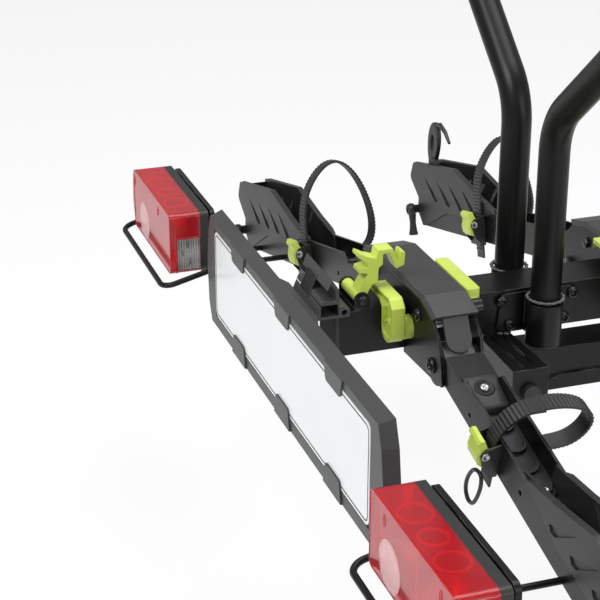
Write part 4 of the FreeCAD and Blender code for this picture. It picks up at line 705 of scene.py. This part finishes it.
# The lens's middle, half width and half height
LENS_MIDDLE = (440.5, 100.5)
LENS_HALF = (93.6, 39.6)
WINDOW_X = 347
LARGE_BOWL = [(0, 2), (5, 3), (13, 6), (20, 13), (26, 25), (27.5, 25), (24, 8), (18, 0), (0, 0)]
SMALL_BOWL = [(0, 2), (5, 3), (13, 6), (20, 12), (25, 22), (26.5, 22), (22, 6), (16, 0), (0, 0)]
BULB = [(5, 0), (5, 6), (8.4, 12), (9, 18), (7.6, 23), (4, 26), (0, 26.8)]
LARGE_Z, SMALL_Z = 82, 100


def lamp_front(sign, x, y, z):
    """A place on one side's lamp that faces to the rear."""
    return axis_frame(metres(sign * x, y, z), (0, -1, 0))


def dress_lamp(side, sign, large_x, small_x, dimples):
    """All that shows in and on one lamp; x runs outward from the part's middle."""
    body = "rear_%s_wing" % side
    name = side + "_lamp_"
    bowl = bmesh.new()
    lathe(bowl, LARGE_BOWL, lamp_front(sign, large_x, BACK_Y, LARGE_Z), 48)
    lathe(bowl, SMALL_BOWL, lamp_front(sign, small_x, BACK_Y, SMALL_Z), 48)
    # The pale disc on the face is a painted reflection of the bowl behind the lens
    dish = bmesh.new()
    lathe(dish, [(25, -0.5), (24.4, 0.25), (18, 0.45), (8, 0.55), (0, 0.6)],
          lamp_front(sign, large_x, FACE_Y, LARGE_Z + 4), 48)
    finish_mesh(name + "disc", dish, REFLECTION_DISC, body)
    swell = bmesh.new()
    outline = [(533.6, 138.5), (538.5, 135), (543, 126), (546.4, 113), (547.5, 100),
               (546.4, 87), (543, 75), (538.5, 66.5), (533.6, 62.5)]
    prism(swell, outline, facing(sign), -512.6, -474.5)
    finish_mesh(name + "end", swell, RED, body, bevel=0.003, segments=4)
    finish_mesh(name + "reflector", bowl, REFLECTOR, body)
    bulbs = bmesh.new()
    for x, z in ((large_x, LARGE_Z), (small_x, SMALL_Z)):
        lathe(bulbs, BULB, lamp_front(sign, x, BACK_Y + 2.5, z), 28)
    finish_mesh(name + "bulbs", bulbs, GLOW, body)

    # Round prisms under the lens's top
    rings = bmesh.new()
    for x, radius in ((478, 15.5), (438, 13), (398, 15.5)):
        tube = oval((radius, 0), (1.5, 1.5), 12)
        lathe(rings, tube + tube[:1], shifted(sign * x, -491.5, 135.3), 40)
    bmesh.ops.remove_doubles(rings, verts=rings.verts, dist=1e-6)
    finish_mesh(name + "rings", rings, RING, body)

    # The ribbed clear window in the lamp's inner end, with its back and the red trim round it
    inner_end = Matrix(((0, 0, sign, sign * WINDOW_X * MM), (1, 0, 0, 0), (0, 1, 0, 0),
                        (0, 0, 0, 1)))
    window = bmesh.new()
    block(window, -503.6, -474.4, 65.4, 106.6, inner_end, 0.4, 5.6)
    for k in range(9):
        rib = -501.6 + k * 3.1
        block(window, rib - 0.7, rib + 0.7, 66.5, 105.5, inner_end, -0.3, 0.6)
    finish_mesh(name + "window", window, CLEAR, body, bevel=0.0003)
    backing = bmesh.new()
    block(backing, -503, -475, 66, 106, inner_end, 5.75, 6.0)
    finish_mesh(name + "window_back", backing, WINDOW, body, smooth=False)
    clips = bmesh.new()
    for y, z in ((-489, 97), (-487, 76), (-496, 87)):
        block(clips, y - 1.3, y + 1.3, z - 4, z + 4, inner_end, 5.2, 5.7)
    finish_mesh(name + "window_clips", clips, NUT, body, smooth=False)
    trim = bmesh.new()
    block(trim, -504, -474.2, 107.2, 109.6, inner_end, -0.7, 0.6)
    block(trim, -506.4, -504.2, 63, 133, inner_end, -0.7, 0.6)
    band(trim, rounded(LENS_HALF[0], LENS_HALF[1], LENS_MIDDLE, 7.4),
         rounded(LENS_HALF[0] - 1.2, LENS_HALF[1] - 1.2, LENS_MIDDLE, 6.6), facing(sign),
         FACE_Y - 0.5, FACE_Y + 1)
    finish_mesh(name + "trim", trim, RED_EDGE, body, bevel=0.0003)

    pits = bmesh.new()
    for x, z in zip(dimples, (124.2, 125.4)):
        place = (shifted(sign * x, FACE_Y, z) @ Matrix.Rotation(math.pi / 2, 4, "X")
                 @ Matrix.Diagonal((0.75, 1.5, 1, 1)))
        lathe(pits, [(4.2, -0.3), (4.0, 0.4), (3.2, 0.5), (2.8, 0.1), (0, 0.1)], place, 24)
    finish_mesh(name + "pits", pits, RED_EDGE, body)
    bars = bmesh.new()
    for x in (518, 452, 372):
        block(bars, x - 2.5, x + 2.5, 64.5, 136, facing(sign), -509.6, -508.4)
    finish_mesh(name + "bars", bars, RING, body, smooth=False)


dress_lamp("near", 1, 395, 485, (381, 505))
dress_lamp("far", -1, 480, 395, (528, 404.7))
